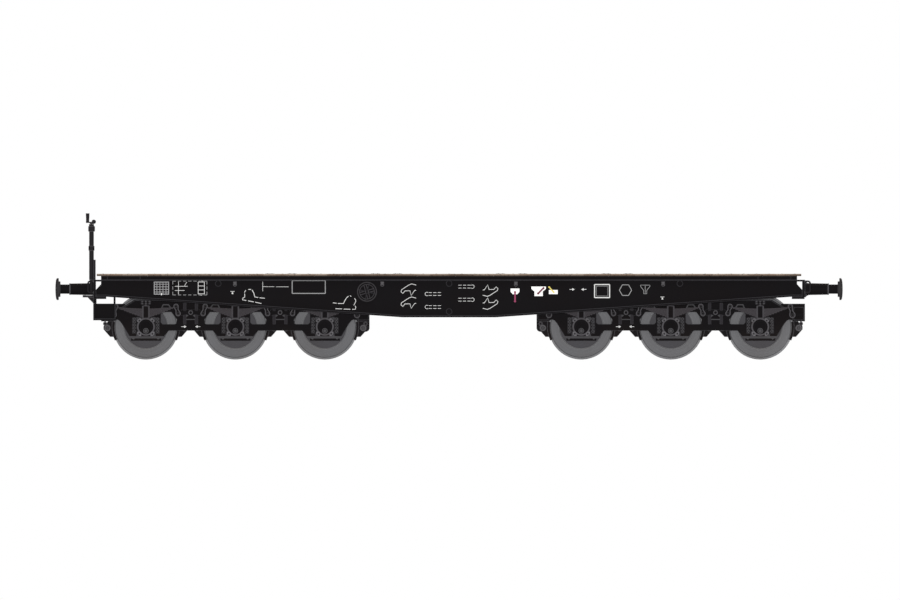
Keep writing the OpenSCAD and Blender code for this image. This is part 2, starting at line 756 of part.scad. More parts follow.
// A window beside an axle guard, seen to the right of its axle
window_out = axle_spacing / 2 - 232;
module window_profile() {
    r = 30;
    polygon([[250, axle_z + 44 + r], [250 + r, axle_z + 44], [window_out - 34, axle_z + 44], [window_out - 8, axle_z + 56],
             [window_out, axle_z + 122], [window_out - 92, axle_z + 246], [262, axle_z + 246], [250, axle_z + 234]]);
}

// Stop brackets over the windows, and the block that limits the spring's rise
module spring_stops(sides) {
    for (s = sides) mirror([s < 0 ? 1 : 0, 0, 0]) along_y(side_plate_y, 14)
        polygon([[252, box_top + 164], [286, box_top + 236], [384, box_top + 236], [418, box_top + 186], [418, box_top + 164]]);
    block([-44, side_plate_y, box_top + 238], [44, spring_y + 30, box_top + 294]);
}

guide_half = 64;
module axle_guide(s) {
    block([s * (slot_half + guide_half / 2) - guide_half / 2 + (s > 0 ? 1 : -1), side_plate_y, axle_z - 108],
          [s * (slot_half + guide_half / 2) + guide_half / 2, side_plate_y + 34, axle_z + 147]);
}

lip_w = 20;
edging_t = 6;
module side_frame() {
    difference() {
        along_y(plate_in, side_plate_t) side_plate_profile();
        for (x = axles)
            block([x - slot_half, plate_in - 1, guard_bottom - 1], [x + slot_half, side_plate_y + 1, box_top + 20]);
        for (x = axles) translate([x, 0, 0]) {
            if (x < axle_spacing / 2) along_y(plate_in - 1, side_plate_t + 2) window_profile();
            if (x > -axle_spacing / 2) mirror([1, 0, 0]) along_y(plate_in - 1, side_plate_t + 2) window_profile();
        }
    }
    along_y(side_plate_y, lip_w) lip_profile();
    both_ends() along_y(side_plate_y, edging_t)
        difference() {
            polygon([[bogie_half - 208, end_bottom], [bogie_half, end_bottom], [bogie_half, end_top], [bogie_half - 208, end_top]]);
            polygon([[bogie_half - 186, end_bottom + 24], [bogie_half - 22, end_bottom + 24],
                     [bogie_half - 22, end_top - 60], [bogie_half - 186, end_top - 60]]);
        }
    for (x = axles) translate([x, 0, 0]) {
        for (s = [-1, 1]) axle_guide(s);
        spring_stops([for (s = [-1, 1]) if (abs(x + s * axle_spacing) < 2 * axle_spacing) s]);
        block([-296, plate_in - 6, guard_bottom - 34], [296, side_plate_y + 36, guard_bottom]);
        block([-251, plate_in, guard_bottom - 71], [251, side_plate_y + 30, guard_bottom - 34]);
    }
    for (x = [-1, 1] * axle_spacing / 2, s = [-1, 1])
        block([x + s * 98 - 23, side_plate_y, axle_z + 45], [x + s * 98 + 23, side_plate_y + 40, plate_top - 55]);
}

module bogie_side_frames() {
    color(black) both_sides() side_frame();
}

transom_bottom = axle_z + 174;
transom_top = axle_z + 414;
long_beam_y = 230;
end_beam_w = 150;
// Guide plate for the brake beam, under the end beam at the bogie's inner end
module beam_guide() {
    x = axle_spacing;
    along_y(guide_plate_y, 12) difference() {
        polygon([[x + 600, end_bottom], [bogie_half, end_bottom], [bogie_half, axle_z - 30], [bogie_half - 14, axle_z - 62],
                 [bogie_half - 40, axle_z - 80], [bogie_half - 72, axle_z - 86], [x + 600, axle_z - 86]]);
        translate([x + beam_dx, beam_z]) circle(r = beam_d / 2 + 10);
    }
}

module bogie_cross_beams(inner_end) {
    color(black) {
        both_ends() {
            block([axle_spacing / 2 - transom_w / 2, -plate_in, transom_bottom],
                  [axle_spacing / 2 + transom_w / 2, plate_in, transom_top]);
            difference() {
                block([bogie_half - end_beam_w, -plate_in, end_bottom], [bogie_half, plate_in, end_top]);
                block([bogie_half - end_beam_w - 1, -plate_in - 1, end_bottom + 16],
                      [bogie_half - 16, plate_in + 1, end_top - 16]);
            }
        }
        mirror([inner_end < 0 ? 1 : 0, 0, 0]) both_sides() beam_guide();
        difference() {
            union() {
                both_sides() block([-axle_spacing / 2, long_beam_y - 60, transom_bottom + 20],
                                   [axle_spacing / 2, long_beam_y, transom_top]);
                block([-300, -long_beam_y, transom_top - 30], [300, long_beam_y, transom_top]);
                translate([0, 0, transom_top]) cylinder(r = pivot_r + 26, h = cup_top - transom_top);
            }
            translate([0, 0, transom_top - 100]) cylinder(r = pin_r + pin_play, h = 200);
        }
        both_sides() block([-bearing_half[0], plate_in, plate_top],
                           [bearing_half[0], bearing_y + bearing_half[1], side_bearing_top]);
    }
}

// Axle boxes with a round cover and an oil plug
box_half = 157;
box_in = 865;
cover_r = 124;
module axle_box() {
    c = 46;
    difference() {
        union() {
            along_y(box_in + 25, 150) polygon([
                [-box_half, box_bottom + c], [-box_half + c, box_bottom], [box_half - c, box_bottom], [box_half, box_bottom + c],
                [box_half, box_top - c], [box_half - c, box_top], [-box_half + c, box_top], [-box_half, box_top - c]]);
            rod_y(0, axle_z, cover_r, box_in + 175, 76);
            rod_y(0, axle_z, cover_r - 26, box_in + 251, 12);
            rod_y(0, axle_z - 68, 42, box_in + 251, 22);
            rod_y(0, axle_z, journal_r + 44, box_in, 25);
        }
        rod_y(0, axle_z, journal_r + pin_play, box_in - 1, 236);
    }
}

module bogie_axle_boxes() {
    color(dark) both_sides() for (x = axles) translate([x, 0, 0]) axle_box();
}

// Leaf springs: a stack of leaves, each shorter than the one above, in a buckle
leaf_step = (spring_half - 96) / (leaf_count - 1);
function leaf_half(i) = spring_half - i * leaf_step;
function spring_z(x) = spring_mid_top + spring_camber * pow(x / spring_half, 2);
module spring_profile() {
    n = 12;
    top = [for (k = [0:n]) let (x = -spring_half + 2 * spring_half * k / n) [x, spring_z(x)]];
    steps = [for (i = [0:leaf_count - 1], j = [0, 1]) [leaf_half(i), spring_z(leaf_half(i)) - (i + j) * leaf_t]];
    polygon(concat(top, [for (i = [1:len(steps) - 1]) steps[i]],
        [for (i = [len(steps) - 1:-1:1]) [-steps[i][0], steps[i][1]]]));
}

buckle_half = 50;
module leaf_spring() {
    difference() {
        union() {
            along_y(spring_y - leaf_w / 2, leaf_w) spring_profile();
            both_ends() rod_y(spring_half, eye_z, eye_r, spring_y - leaf_w / 2, leaf_w);
        }
        both_ends() rod_y(spring_half, eye_z, link_pin_r + fit, spring_y - leaf_w, 2 * leaf_w);
    }
    block([-buckle_half, spring_y - leaf_w / 2 - 9, box_top],
          [buckle_half, spring_y + leaf_w / 2 + 9, spring_mid_top + 50]);
}

module bogie_springs() {
    color(steel) both_sides() for (x = axles) translate([x, 0, 0]) leaf_spring();
}

// Spring links: shackles from the spring eyes to the compensating levers or to the end brackets
link_pin_r = 17;
link_t = 16;
link_in = spring_y - leaf_w / 2 - 2 - link_t;
link_out = spring_y + leaf_w / 2 + 2;
lever_t = 50;
module shackle(low) {
    for (y = [link_in, link_out]) along_y(y, link_t) link_profile([spring_half, eye_z], low, 40, 44);
    for (p = [[spring_half, eye_z], low]) rod_y(p[0], p[1], link_pin_r, link_in, link_out - link_in + link_t + 8);
}

module compensating_lever() {
    reach = axle_spacing / 2 - link_low[0];
    difference() {
        along_y(spring_y - lever_t / 2, lever_t) {
            link_profile([-reach, link_low[1]], [reach, link_low[1]], 40, 62);
            translate([0, lever_z - 8]) circle(r = 52);
        }
        for (x = [-reach, reach]) rod_y(x, link_low[1], link_pin_r + fit, spring_y - lever_t, 2 * lever_t);
    }
    rod_y(0, lever_z, 24, side_plate_y, spring_y + lever_t / 2 + 16 - side_plate_y);
    rod_y(0, lever_z, 36, spring_y + lever_t / 2, 12);
}

module bogie_spring_links() {
    color(dark) both_sides() {
        for (x = axles) translate([x, 0, 0]) {
            shackle(x == axle_spacing ? end_link_low : link_low);
            mirror([1, 0, 0]) shackle(x == -axle_spacing ? end_link_low : link_low);
        }
        for (x = [-1, 1] * axle_spacing / 2) translate([x, 0, 0]) compensating_lever();
        both_ends() translate([axle_spacing, 0, 0]) difference() {
            block([end_link_low[0] - 30, link_in + link_t + 1, end_link_low[1] - 30],
                  [bogie_half - axle_spacing - 40, link_out - 1, end_link_low[1] + 30]);
            rod_y(end_link_low[0], end_link_low[1], link_pin_r + fit, side_plate_y - 1, 200);
        }
    }
}

// Brake gear: blocks on both sides of each wheel, on a beam that hangs from the frame
block_in = tread_d / 2 + block_gap;
block_y = 724;
block_w = 84;
beam_dx = 644;
beam_z = axle_z - 20;
hanger_dx = 684;
hanger_half = 14;
hanger_pin_r = 34;
guide_plate_y = 694;
module brake_block() {
    translate([0, block_y + block_w, axle_z]) rotate([90, 0, 0]) rotate([0, 0, -24])
        rotate_extrude(angle = 33) translate([block_in, 0]) square([block_t, block_w]);
    along_y(block_y + 14, block_w - 28) difference() {
        polygon([[block_in + 12, end_bottom - fit], [beam_dx - 11, end_bottom - fit], [beam_dx + 14, axle_z + 68],
                 [hanger_dx, axle_z + 60], [beam_dx + 67, axle_z + 4], [beam_dx + 66, axle_z - 44],
                 [beam_dx - 44, axle_z - 170], [block_in + 10, axle_z - 170], [block_in - 8, axle_z - 140]]);
        translate([0, axle_z]) circle(r = block_in + 10);
    }
}

module brake_unit(top) {
    both_sides() {
        brake_block();
        block([hanger_dx - hanger_half, block_y + 30, axle_z + 40], [hanger_dx + hanger_half, block_y + 54, top]);
        rod_y(hanger_dx, axle_z + 51, hanger_pin_r, block_y + 10, block_w - 4);
    }
    rod_y(beam_dx, beam_z, beam_d / 2, -block_y - block_w - 16, 2 * (block_y + block_w + 16));
}

module bogie_brake_gear() {
    color(black) for (x = axles, s = [1, -1]) translate([x, 0, 0]) mirror([s < 0 ? 1 : 0, 0, 0])
        brake_unit(abs(x + s * hanger_dx) > axle_spacing + 300 ? end_bottom : transom_bottom);
}

// Wheelsets: an axle and its two wheels, each drawn about the axle's line
hub_half = 80;
wheel_mid = back_to_back / 2 + rim_w / 2;
rim_r = 376;
tyre_r = tread_d / 2 - 72;
web_half = 14;
module wheel_profile() {
    b = -rim_w / 2;
    o = rim_w / 2;
    t = tread_d / 2;
    polygon([
        [seat_r + fit, -hub_half], [150, -hub_half], [158, -hub_half + 10], [166, -web_half - 18], [190, -web_half + 8],
        [rim_r - 40, -web_half - 10], [rim_r - 4, b + 22], [rim_r + 6, b + 12], [tyre_r, b + 12], [tyre_r, b],
        [t + 8, b], [t + 24, b + 3], [t + flange_h - 4, b + 9], [t + flange_h, b + 16], [t + flange_h - 4, b + 23],
        [t + 14, b + 31], [t + 3, b + 39], [t, b + 50], [t - 4, o - 6], [t - 10, o],
        [tyre_r + 3, o], [tyre_r + 3, o - 5], [tyre_r - 3, o - 5], [tyre_r - 3, o - 8], [rim_r + 8, o - 8], [rim_r, o - 16],
        [rim_r - 4, 24], [rim_r - 34, web_half - 8], [196, web_half + 10], [168, web_half + 34],
        [158, hub_half - 6], [148, hub_half], [seat_r + fit, hub_half]]);
}

module axle_profile() {
    y = [0, 420, wheel_mid - hub_half - 4, wheel_mid - hub_half - 2, wheel_mid + hub_half + 2, box_in - 14, box_in - 8, 1096];
    polygon([[0, -y[7]], [journal_r - 4, -y[7]], [journal_r, -y[7] + 4], [journal_r, -y[6]], [journal_r + 12, -y[5]],
             [seat_r - 8, -y[4]], [seat_r, -y[4] + 2], [seat_r, -y[3]], [axle_r, -y[2] + 20], [axle_r - 4, 0],
             [axle_r, y[2] - 20], [seat_r, y[3]], [seat_r, y[4] - 2], [seat_r - 8, y[4]], [journal_r + 12, y[5]],
             [journal_r, y[6]], [journal_r, y[7] - 4], [journal_r - 4, y[7]], [0, y[7]]]);
}

module axle() {
    color(dark) translate([0, 0, axle_z]) rotate([-90, 0, 0]) rotate_extrude() axle_profile();
}

module wheels() {
    color(steel) both_sides() translate([0, wheel_mid, axle_z]) rotate([-90, 0, 0]) rotate_extrude() wheel_profile();
}

module bogie_part(p, inner_end) {
    if (p == "side_frames") bogie_side_frames();
    if (p == "cross_beams") bogie_cross_beams(inner_end);
    if (p == "axle_boxes") bogie_axle_boxes();
    if (p == "springs") bogie_springs();
    if (p == "spring_links") bogie_spring_links();
    if (p == "brake_gear") bogie_brake_gear();
}

mirror([0, 1, 0]) side_sill();  // side_sill_near
side_sill();  // side_sill_far
centre_sills();
cross_bearers();
body_bolsters();
mirror([1, 0, 0]) headstock();  // headstock_brake_end
headstock();  // headstock_plain_end
floor_bearers();
floor_planks();
lashing_plates();
buffer_housings();
buffer_heads();
draw_hooks();
grab_rails();
hand_brake_column();
hand_brake_crank();
end_steps();
side_hand_wheels();
rope_hooks();
control_levers();
note_holders();
brake_cylinder();
air_reservoirs();
brake_pipe();
brake_rigging();
for (i = [0, 1], p = ["side_frames", "cross_beams", "axle_boxes", "springs", "spring_links", "brake_gear"])
    translate([pivots[i], 0, 0]) bogie_part(p, i == 0 ? 1 : -1);
for (i = [0, 1], n = [1:3]) translate([pivots[i] + axles[n - 1], 0, 0]) {
    axle();
    wheels();
}
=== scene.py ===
import math
import random

import bpy
from mathutils import Matrix, Vector


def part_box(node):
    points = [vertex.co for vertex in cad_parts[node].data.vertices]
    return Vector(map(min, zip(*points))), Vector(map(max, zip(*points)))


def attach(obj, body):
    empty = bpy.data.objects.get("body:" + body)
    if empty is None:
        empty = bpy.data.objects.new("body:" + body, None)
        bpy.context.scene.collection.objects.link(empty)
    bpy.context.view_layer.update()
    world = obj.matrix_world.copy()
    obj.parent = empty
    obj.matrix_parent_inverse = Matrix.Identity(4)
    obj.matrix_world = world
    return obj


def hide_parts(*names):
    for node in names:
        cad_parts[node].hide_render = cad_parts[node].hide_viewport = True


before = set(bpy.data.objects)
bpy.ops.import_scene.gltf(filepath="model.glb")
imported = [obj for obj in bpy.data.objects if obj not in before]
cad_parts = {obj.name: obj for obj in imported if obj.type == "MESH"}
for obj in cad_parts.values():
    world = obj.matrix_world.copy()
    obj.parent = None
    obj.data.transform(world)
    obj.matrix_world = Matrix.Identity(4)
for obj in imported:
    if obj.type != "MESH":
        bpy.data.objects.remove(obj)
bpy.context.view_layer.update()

# Camera, lamps and floor
# The wagon is drawn square on from the hand brake's side, so the camera has no perspective.
# One picture pixel is 16.77 mm, and the picture's middle lies 1 m above the flange tips.
PIXEL = 0.016766
eye = bpy.data.cameras.new("eye")
eye.type = "ORTHO"
eye.ortho_scale = 900 * PIXEL
eye.clip_end = 200
eye_object = bpy.data.objects.new("eye", eye)
eye_object.location = (0.95 * PIXEL, -20, 59.55 * PIXEL)
eye_object.rotation_euler = (math.radians(90), 0, 0)
bpy.context.collection.objects.link(eye_object)
bpy.context.scene.camera = eye_object
bpy.context.scene.view_settings.view_transform = "Standard"

for name, azimuth, height, strength, softness in (
        ("front", -1, 1, 2.9, 3), ("high_front", 24, 52, 0.5, 24), ("back", 160, 34, 0.9, 30)):
    lamp = bpy.data.lights.new(name, "SUN")
    lamp.energy = strength
    lamp.angle = math.radians(softness)
    lamp_object = bpy.data.objects.new(name, lamp)
    a, e = math.radians(azimuth), math.radians(height)
    towards = Vector((math.sin(a) * math.cos(e), -math.cos(a) * math.cos(e), math.sin(e)))
    lamp_object.rotation_euler = towards.to_track_quat("Z", "Y").to_euler()
    bpy.context.collection.objects.link(lamp_object)

sky = bpy.data.worlds.new("sky")
bpy.context.scene.world = sky
sky.use_nodes = True
sky_light = sky.node_tree.nodes["Background"]
sky_light.inputs["Color"].default_value = (0.42, 0.42, 0.43, 1)
sky_white = sky.node_tree.nodes.new("ShaderNodeBackground")
sky_white.inputs["Color"].default_value = (1, 1, 1, 1)
sky_ray = sky.node_tree.nodes.new("ShaderNodeLightPath")
sky_mix = sky.node_tree.nodes.new("ShaderNodeMixShader")
sky.node_tree.links.new(sky_ray.outputs["Is Camera Ray"], sky_mix.inputs[0])
sky.node_tree.links.new(sky_light.outputs[0], sky_mix.inputs[1])
sky.node_tree.links.new(sky_white.outputs[0], sky_mix.inputs[2])
sky.node_tree.links.new(sky_mix.outputs[0], sky.node_tree.nodes["World Output"].inputs[0])

bpy.ops.mesh.primitive_plane_add(size=90)
ground = bpy.context.object
ground.name = "ground"
ground_white = bpy.data.materials.new("ground_white")
ground_white.use_nodes = True
ground_shader = ground_white.node_tree.nodes["Principled BSDF"]
ground_shader.inputs["Base Color"].default_value = (0.93, 0.93, 0.93, 1)
ground_shader.inputs["Roughness"].default_value = 1
# From below the ground isn't there, so that the wagon's underside can be looked at.
ground_back = ground_white.node_tree.nodes.new("ShaderNodeNewGeometry")
ground_front = ground_white.node_tree.nodes.new("ShaderNodeMath")
ground_front.operation = "SUBTRACT"
ground_front.inputs[0].default_value = 1
ground_white.node_tree.links.new(ground_back.outputs["Backfacing"], ground_front.inputs[1])
ground_white.node_tree.links.new(ground_front.outputs[0], ground_shader.inputs["Alpha"])
ground.data.materials.append(ground_white)

# Side sills, headstocks, cross bearers and all that is riveted or welded to them
# Rolled and welded steel under dull black paint. The paint is dusty in soft clouds and a little browner
# down by the wheels, and grey along every edge and inner corner: partly worn paint, partly a painted
# highlight.


class Wire:
    """A shader socket. Arithmetic with numbers and other wires adds the Math nodes for it."""

    def __init__(self, tree, socket=None):
        self.tree = tree
        self.socket = socket

    def node(self, kind, inputs=(), out=0, **settings):
        made = self.tree.nodes.new(kind)
        for name, value in settings.items():
            setattr(made, name, value)
        for name, value in dict(inputs).items():
            if isinstance(value, Wire):
                self.tree.links.new(value.socket, made.inputs[name])
            else:
                made.inputs[name].default_value = value
        return Wire(self.tree, made.outputs[out])

    def math(self, operation, *values):
        return self.node("ShaderNodeMath", dict(enumerate(values)), operation=operation)

    def __add__(self, other):
        return self.math("ADD", self, other)

    def __radd__(self, other):
        return self.math("ADD", other, self)

    def __sub__(self, other):
        return self.math("SUBTRACT", self, other)

    def __rsub__(self, other):
        return self.math("SUBTRACT", other, self)

    def __mul__(self, other):
        return self.math("MULTIPLY", self, other)

    def __rmul__(self, other):
        return self.math("MULTIPLY", other, self)

    def between(self, low, high):
        return self.node("ShaderNodeMapRange", {0: self, 1: low, 2: high}, interpolation_type="SMOOTHSTEP")

    def tint(self, plain, painted):
        """From plain to painted where this wire goes from 0 to 1. Each is a wire or an 8-bit colour."""
        ends = {6: plain, 7: painted}
        for socket, tone in ends.items():
            ends[socket] = tone if isinstance(tone, Wire) else colour(*tone)
        return self.node("ShaderNodeMix", {0: self, **ends}, 2, data_type="RGBA")

    def noise(self, scale, detail=4.0):
        return self.node("ShaderNodeTexNoise", {"Vector": self, "Scale": scale, "Detail": detail})

    def axis(self, letter):
        return self.node("ShaderNodeSeparateXYZ", {0: self}, letter)

    def stretch(self, x, y, z):
        return self.node("ShaderNodeVectorMath", {0: self, 1: (x, y, z)}, operation="MULTIPLY")


def colour(red, green, blue):
    steps = [c / 255 for c in (red, green, blue)]
    return tuple(c / 12.92 if c <= 0.04045 else ((c + 0.055) / 1.055) ** 2.4 for c in steps) + (1,)


def surface(name, roughness):
    made = bpy.data.materials.new(name)
    made.use_nodes = True
    shader = made.node_tree.nodes["Principled BSDF"]
    shader.inputs["Roughness"].default_value = roughness
    shader.inputs["Specular IOR Level"].default_value = 0.05
    place = Wire(made.node_tree).node("ShaderNodeTexCoord", out="Object")
    return made, shader.inputs, place


def link(wire, socket):
    wire.tree.links.new(wire.socket, socket)


def worn_and_highlit_edges(place, radius):
    """1 along every edge and inner corner within a radius, 0 on the open surface."""
    # The mask brings a lighter grey: worn paint on the edges, and a painted highlight on edges and inner
    # corners alike.
    soft = place.node("ShaderNodeBevel", {"Radius": radius}, samples=8)
    flat = place.node("ShaderNodeNewGeometry", out="Normal")
    turned = place.node("ShaderNodeVectorMath", {0: soft, 1: flat}, "Value", operation="DOT_PRODUCT")
    return (1 - turned).between(0.004, 0.08)


def black_paint(name, body, edge, dirt, roughness=0.75, edge_width=0.012, grime=0.3):
    made, sockets, place = surface(name, roughness)
    clouds = place.noise(1.7, 5).between(0.40, 0.68)
    specks = place.noise(38, 3).between(0.52, 0.72)
    low = 1 - place.axis("Z").between(0.10, 0.70)
    up = place.node("ShaderNodeNewGeometry", out="Normal").axis("Z").between(0.35, 0.95)
    soiled = (clouds * 0.20 + specks * 0.12 + low * clouds * 0.5 + up * 0.8) * grime
    tone = soiled.tint(body, dirt)
    # Painted highlight and wear: every edge and inner corner turns towards the edge grey.
    rim = worn_and_highlit_edges(place, edge_width) * (0.72 + specks * 0.28)
    link(rim.tint(tone, edge), sockets["Base Color"])
    link(clouds * 0.12 + specks * 0.08 + (roughness - 0.05), sockets["Roughness"])
    skin = place.noise(60, 4)
    bump = place.node("ShaderNodeBump", {"Strength": 0.10, "Distance": 0.002, "Height": skin})
    link(bump, sockets["Normal"])
    return made


def dress(finish, *nodes):
    for node in nodes:
        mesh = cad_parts[node].data
        mesh.materials.clear()
        mesh.materials.append(finish)


BLACK = (12, 10, 12)
EDGE_GREY = (58, 57, 60)
DUST = (52, 47, 44)
frame_paint = black_paint("frame_paint", BLACK, EDGE_GREY, DUST, grime=0.25)
dress(frame_paint, "side_sill_near", "side_sill_far", "centre_sills", "cross_bearers", "body_bolsters",
      "headstock_brake_end", "headstock_plain_end", "floor_bearers")

# Painted marks on the side sills
# Thin lines of white or grey lacquer brushed on the webs through stencils: frames, dashed outlines of hooks
# and of a hump, a ladder, a hexagon and a funnel.
WEB_FACE = -1.406
LINE = 0.016
COAT = 0.0012
FAR_SIDE = Matrix.Diagonal((1, -1, 1, 1))


def pick(*objects):
    bpy.ops.object.select_all(action="DESELECT")
    for each in objects:
        each.select_set(True)
    bpy.context.view_layer.objects.active = objects[-1]


def at(x, y, z):
    return Matrix.Translation((x, y, z))


def copies(shape, places):
    """The shape at each place, each copy with its own mesh. The shape itself is used up."""
    made = []
    for place in places:
        twin = shape.copy()
        twin.data = shape.data.copy()
        bpy.context.collection.objects.link(twin)
        twin.matrix_world = place @ shape.matrix_world
        made.append(twin)
    bpy.data.objects.remove(shape)
    return made


def both_sides(centre=0.0):
    """The near side's place, and the far side's, turned about the upright line through the centre."""
    turn = Matrix.Rotation(math.pi, 4, "Z")
    return [Matrix.Identity(4), at(2 * centre, 0, 0) @ turn]


def joined(shapes):
    """One shape, with its place in its mesh."""
    pick(*shapes)
    if len(shapes) > 1:
        bpy.ops.object.join()
    bpy.ops.object.transform_apply()
    return bpy.context.object


def piece(name, body, finish, *shapes):
    """Shapes joined to one piece that rides on a body."""
    made = joined(shapes)
    bpy.ops.object.mode_set(mode="EDIT")
    bpy.ops.mesh.select_all(action="SELECT")
    bpy.ops.mesh.normals_make_consistent(inside=False)
    bpy.ops.object.mode_set(mode="OBJECT")
    made.name = name
    made.data.name = name
    if finish:
        made.data.materials.clear()
        made.data.materials.append(finish)
    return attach(made, body)


def brushed(lines, width):
    """Flat strokes along lines of (along, up) points on the near sill's web, as one shape."""
    stroke = bpy.data.curves.new("stroke", "CURVE")
    stroke.dimensions = "3D"
    stroke.bevel_depth = width / 2
    stroke.bevel_resolution = 0
    stroke.use_fill_caps = True
    for line in lines:
        spline = stroke.splines.new("POLY")
        spline.points.add(len(line) - 1)
        for point, (x, z) in zip(spline.points, line):
            point.co = (x, 0, z, 1)
    made = bpy.data.objects.new("stroke", stroke)
    bpy.context.collection.objects.link(made)
    pick(made)
    bpy.ops.object.convert(target="MESH")
    made.scale = (1, 2 * COAT / width, 1)
    made.location = (0, WEB_FACE - COAT / 2, 0)
    bpy.ops.object.transform_apply()
    return made


def dashed(start, end, count, share=0.62):
    """The dashes of a straight line, as lines of two points."""
    a, b = Vector(start), Vector(end)
    step = (b - a) / (count - 1 + share)
    return [[tuple(a + step * i), tuple(a + step * (i + share))] for i in range(count)]


def oblong(x0, x1, z0, z1):
    return [(x0, z0), (x1, z0), (x1, z1), (x0, z1)]


def ring(x, z, radius, count=24):
    turns = [2 * math.pi * i / count for i in range(count)]
    return [(x + radius * math.cos(turn), z + radius * math.sin(turn)) for turn in turns]


def closed(corners):
    """The lines from each corner to the next, and back to the first."""
    return [[corners[i - 1], corners[i]] for i in range(len(corners))]


def lacquer(name, tone, worn):
    made, sockets, place = surface(name, 0.5)
    chips = place.noise(34, 4).between(0.60, 0.70)
    chalk = place.noise(4, 3).between(0.35, 0.7) * 0.4
    link((chips * 0.5 + chalk * 0.5).tint(tone, worn), sockets["Base Color"])
    link(chips * 0.2 + 0.45, sockets["Roughness"])
    return made


white_lacquer = lacquer("white_lacquer", (216, 216, 214), (170, 168, 166))
grey_lacquer = lacquer("grey_lacquer", (150, 150, 150), (110, 108, 108))

# Note box: dashed frame with a track plan and a ladder in it
BOX = (-4.632, -4.060, 1.083, 1.315)
box_frame = []
for z in BOX[2:]:
    box_frame += dashed((BOX[0], z), (BOX[1], z), 7)
for x in BOX[:2]:
    box_frame += dashed((x, BOX[2]), (x, BOX[3]), 3)
plan_x = BOX[0] + 0.095
note_box = [[(plan_x, BOX[2] + 0.010), (plan_x, BOX[3] - 0.008)],
            [(plan_x - 0.060, 1.228), (plan_x + 0.154, 1.228)],
            [(plan_x - 0.060, 1.158), (plan_x + 0.102, 1.158)],
            [(plan_x + 0.102, 1.235), (plan_x + 0.139, 1.298)]]
ladder_x = (BOX[1] - 0.146, BOX[1] - 0.042)
ladder = [[(x, 1.096), (x, 1.304)] for x in ladder_x]
ladder += [[(ladder_x[0], 1.102 + 0.066 * i), (ladder_x[1], 1.102 + 0.066 * i)] for i in range(4)]
ladder += [[(-4.152, 1.316), (-4.120, 1.316)], [(-4.170, 1.081), (-4.140, 1.081)]]

# Ruled lines and a plain frame
rules = [[(-3.124, 1.146), (-3.124, 1.304)], [(-3.124, 1.222), (-2.930, 1.222)],
         [(-2.900, 1.220), (-2.690, 1.220)]]
weight_frame = closed(oblong(-2.630, -2.075, 1.109, 1.325))

# Hump outlines: a dashed rope slung over a hump, seen at each end of the belly
hump = [[(-3.409, 1.161), (-3.431, 1.124)], [(-3.427, 1.105), (-3.424, 1.049), (-3.461, 1.027)],
        [(-3.463, 1.020), (-3.461, 1.000), (-3.400, 0.990)], [(-3.370, 0.985), (-3.274, 0.966)],
        [(-3.250, 0.961), (-3.147, 0.940)], [(-3.364, 1.176), (-3.319, 1.176)],
        [(-3.302, 1.166), (-3.274, 1.116), (-3.256, 1.049), (-3.200, 1.040)],
        [(-3.176, 1.036), (-3.088, 1.027)]]
hump_two = [[(-1.946, 0.951), (-1.887, 0.944)],
            [(-1.864, 0.941), (-1.770, 0.938), (-1.750, 0.982), (-1.722, 1.030), (-1.686, 1.062)],
            [(-1.662, 1.071), (-1.642, 1.059)],
            [(-1.585, 1.026), (-1.566, 1.000), (-1.564, 0.975), (-1.596, 0.909)],
            [(-1.575, 0.898), (-1.562, 0.881), (-1.572, 0.842), (-1.623, 0.842)],
            [(-1.654, 0.843), (-1.767, 0.845)], [(-1.794, 0.849), (-1.905, 0.852)]]

# Hooks and pins, twice above each other at both ends of the wagon's middle
hook = [(-0.552, 1.249), (-0.628, 1.269), (-0.676, 1.249), (-0.796, 1.171), (-0.806, 1.136),
        (-0.774, 1.109), (-0.738, 1.152), (-0.656, 1.154), (-0.634, 1.075), (-0.579, 1.158),
        (-0.552, 1.162)]
HOOK_STEP = 0.219
HOOK_TURN = (0.007, 1.164)
turned_hook = [(2 * HOOK_TURN[0] - x, 2 * HOOK_TURN[1] - z) for x, z in hook]
PIN = (-0.372, 1.099)
PIN_R = 0.030
PIN_L = 0.236
PIN_TURN = 0.010
PIN_LIFT = 0.124


def pin_lines(x, z, way):
    """A dashed pin with a round eye, its shank to the left (way -1) or to the right (1)."""
    turns = [math.radians(50 + 26 * i) for i in range(11)]
    lines = [[(x + way * PIN_R * math.cos(turn), z + PIN_R * math.sin(turn)) for turn in turns]]
    for height in (z + PIN_R * 0.8, z - PIN_R * 0.8):
        lines += dashed((x + way * PIN_R, height), (x + way * PIN_L, height), 3, 0.7)
    return lines


hooks = []
pins = []
for step in (0, HOOK_STEP):
    hooks += [[(x, z - step) for x, z in shape] for shape in (hook, turned_hook)]
    pins += pin_lines(PIN[0], PIN[1] - step, 1)
    pins += pin_lines(2 * PIN_TURN - PIN[0], PIN[1] + PIN_LIFT - step, -1)

# Arrows, square frame, hexagon, funnel and the little anchor marks
ARROW = 0.040


def arrow_lines(x, z, way):
    """An arrow that points to the right (way 1) or to the left (-1)."""
    tip = x + way * ARROW
    barb = tip - way * 0.032
    return [[(x - way * ARROW, z), (tip, z)], [(barb, z + 0.018), (tip, z), (barb, z - 0.018)],
            [(barb, z + 0.014), (barb, z - 0.014)]]


def anchor_lines(x, z):
    """A bar with a short stem that ends in a square dot below it."""
    dot = [[(x - 0.013, z - low), (x + 0.013, z - low)] for low in (0.010, 0.016, 0.022)]
    stem = [[(x + side, z + 0.014), (x, z - 0.008)] for side in (-0.012, 0.012)]
    return dot + stem + [[(x - 0.036, z + 0.018), (x + 0.036, z + 0.018)]]


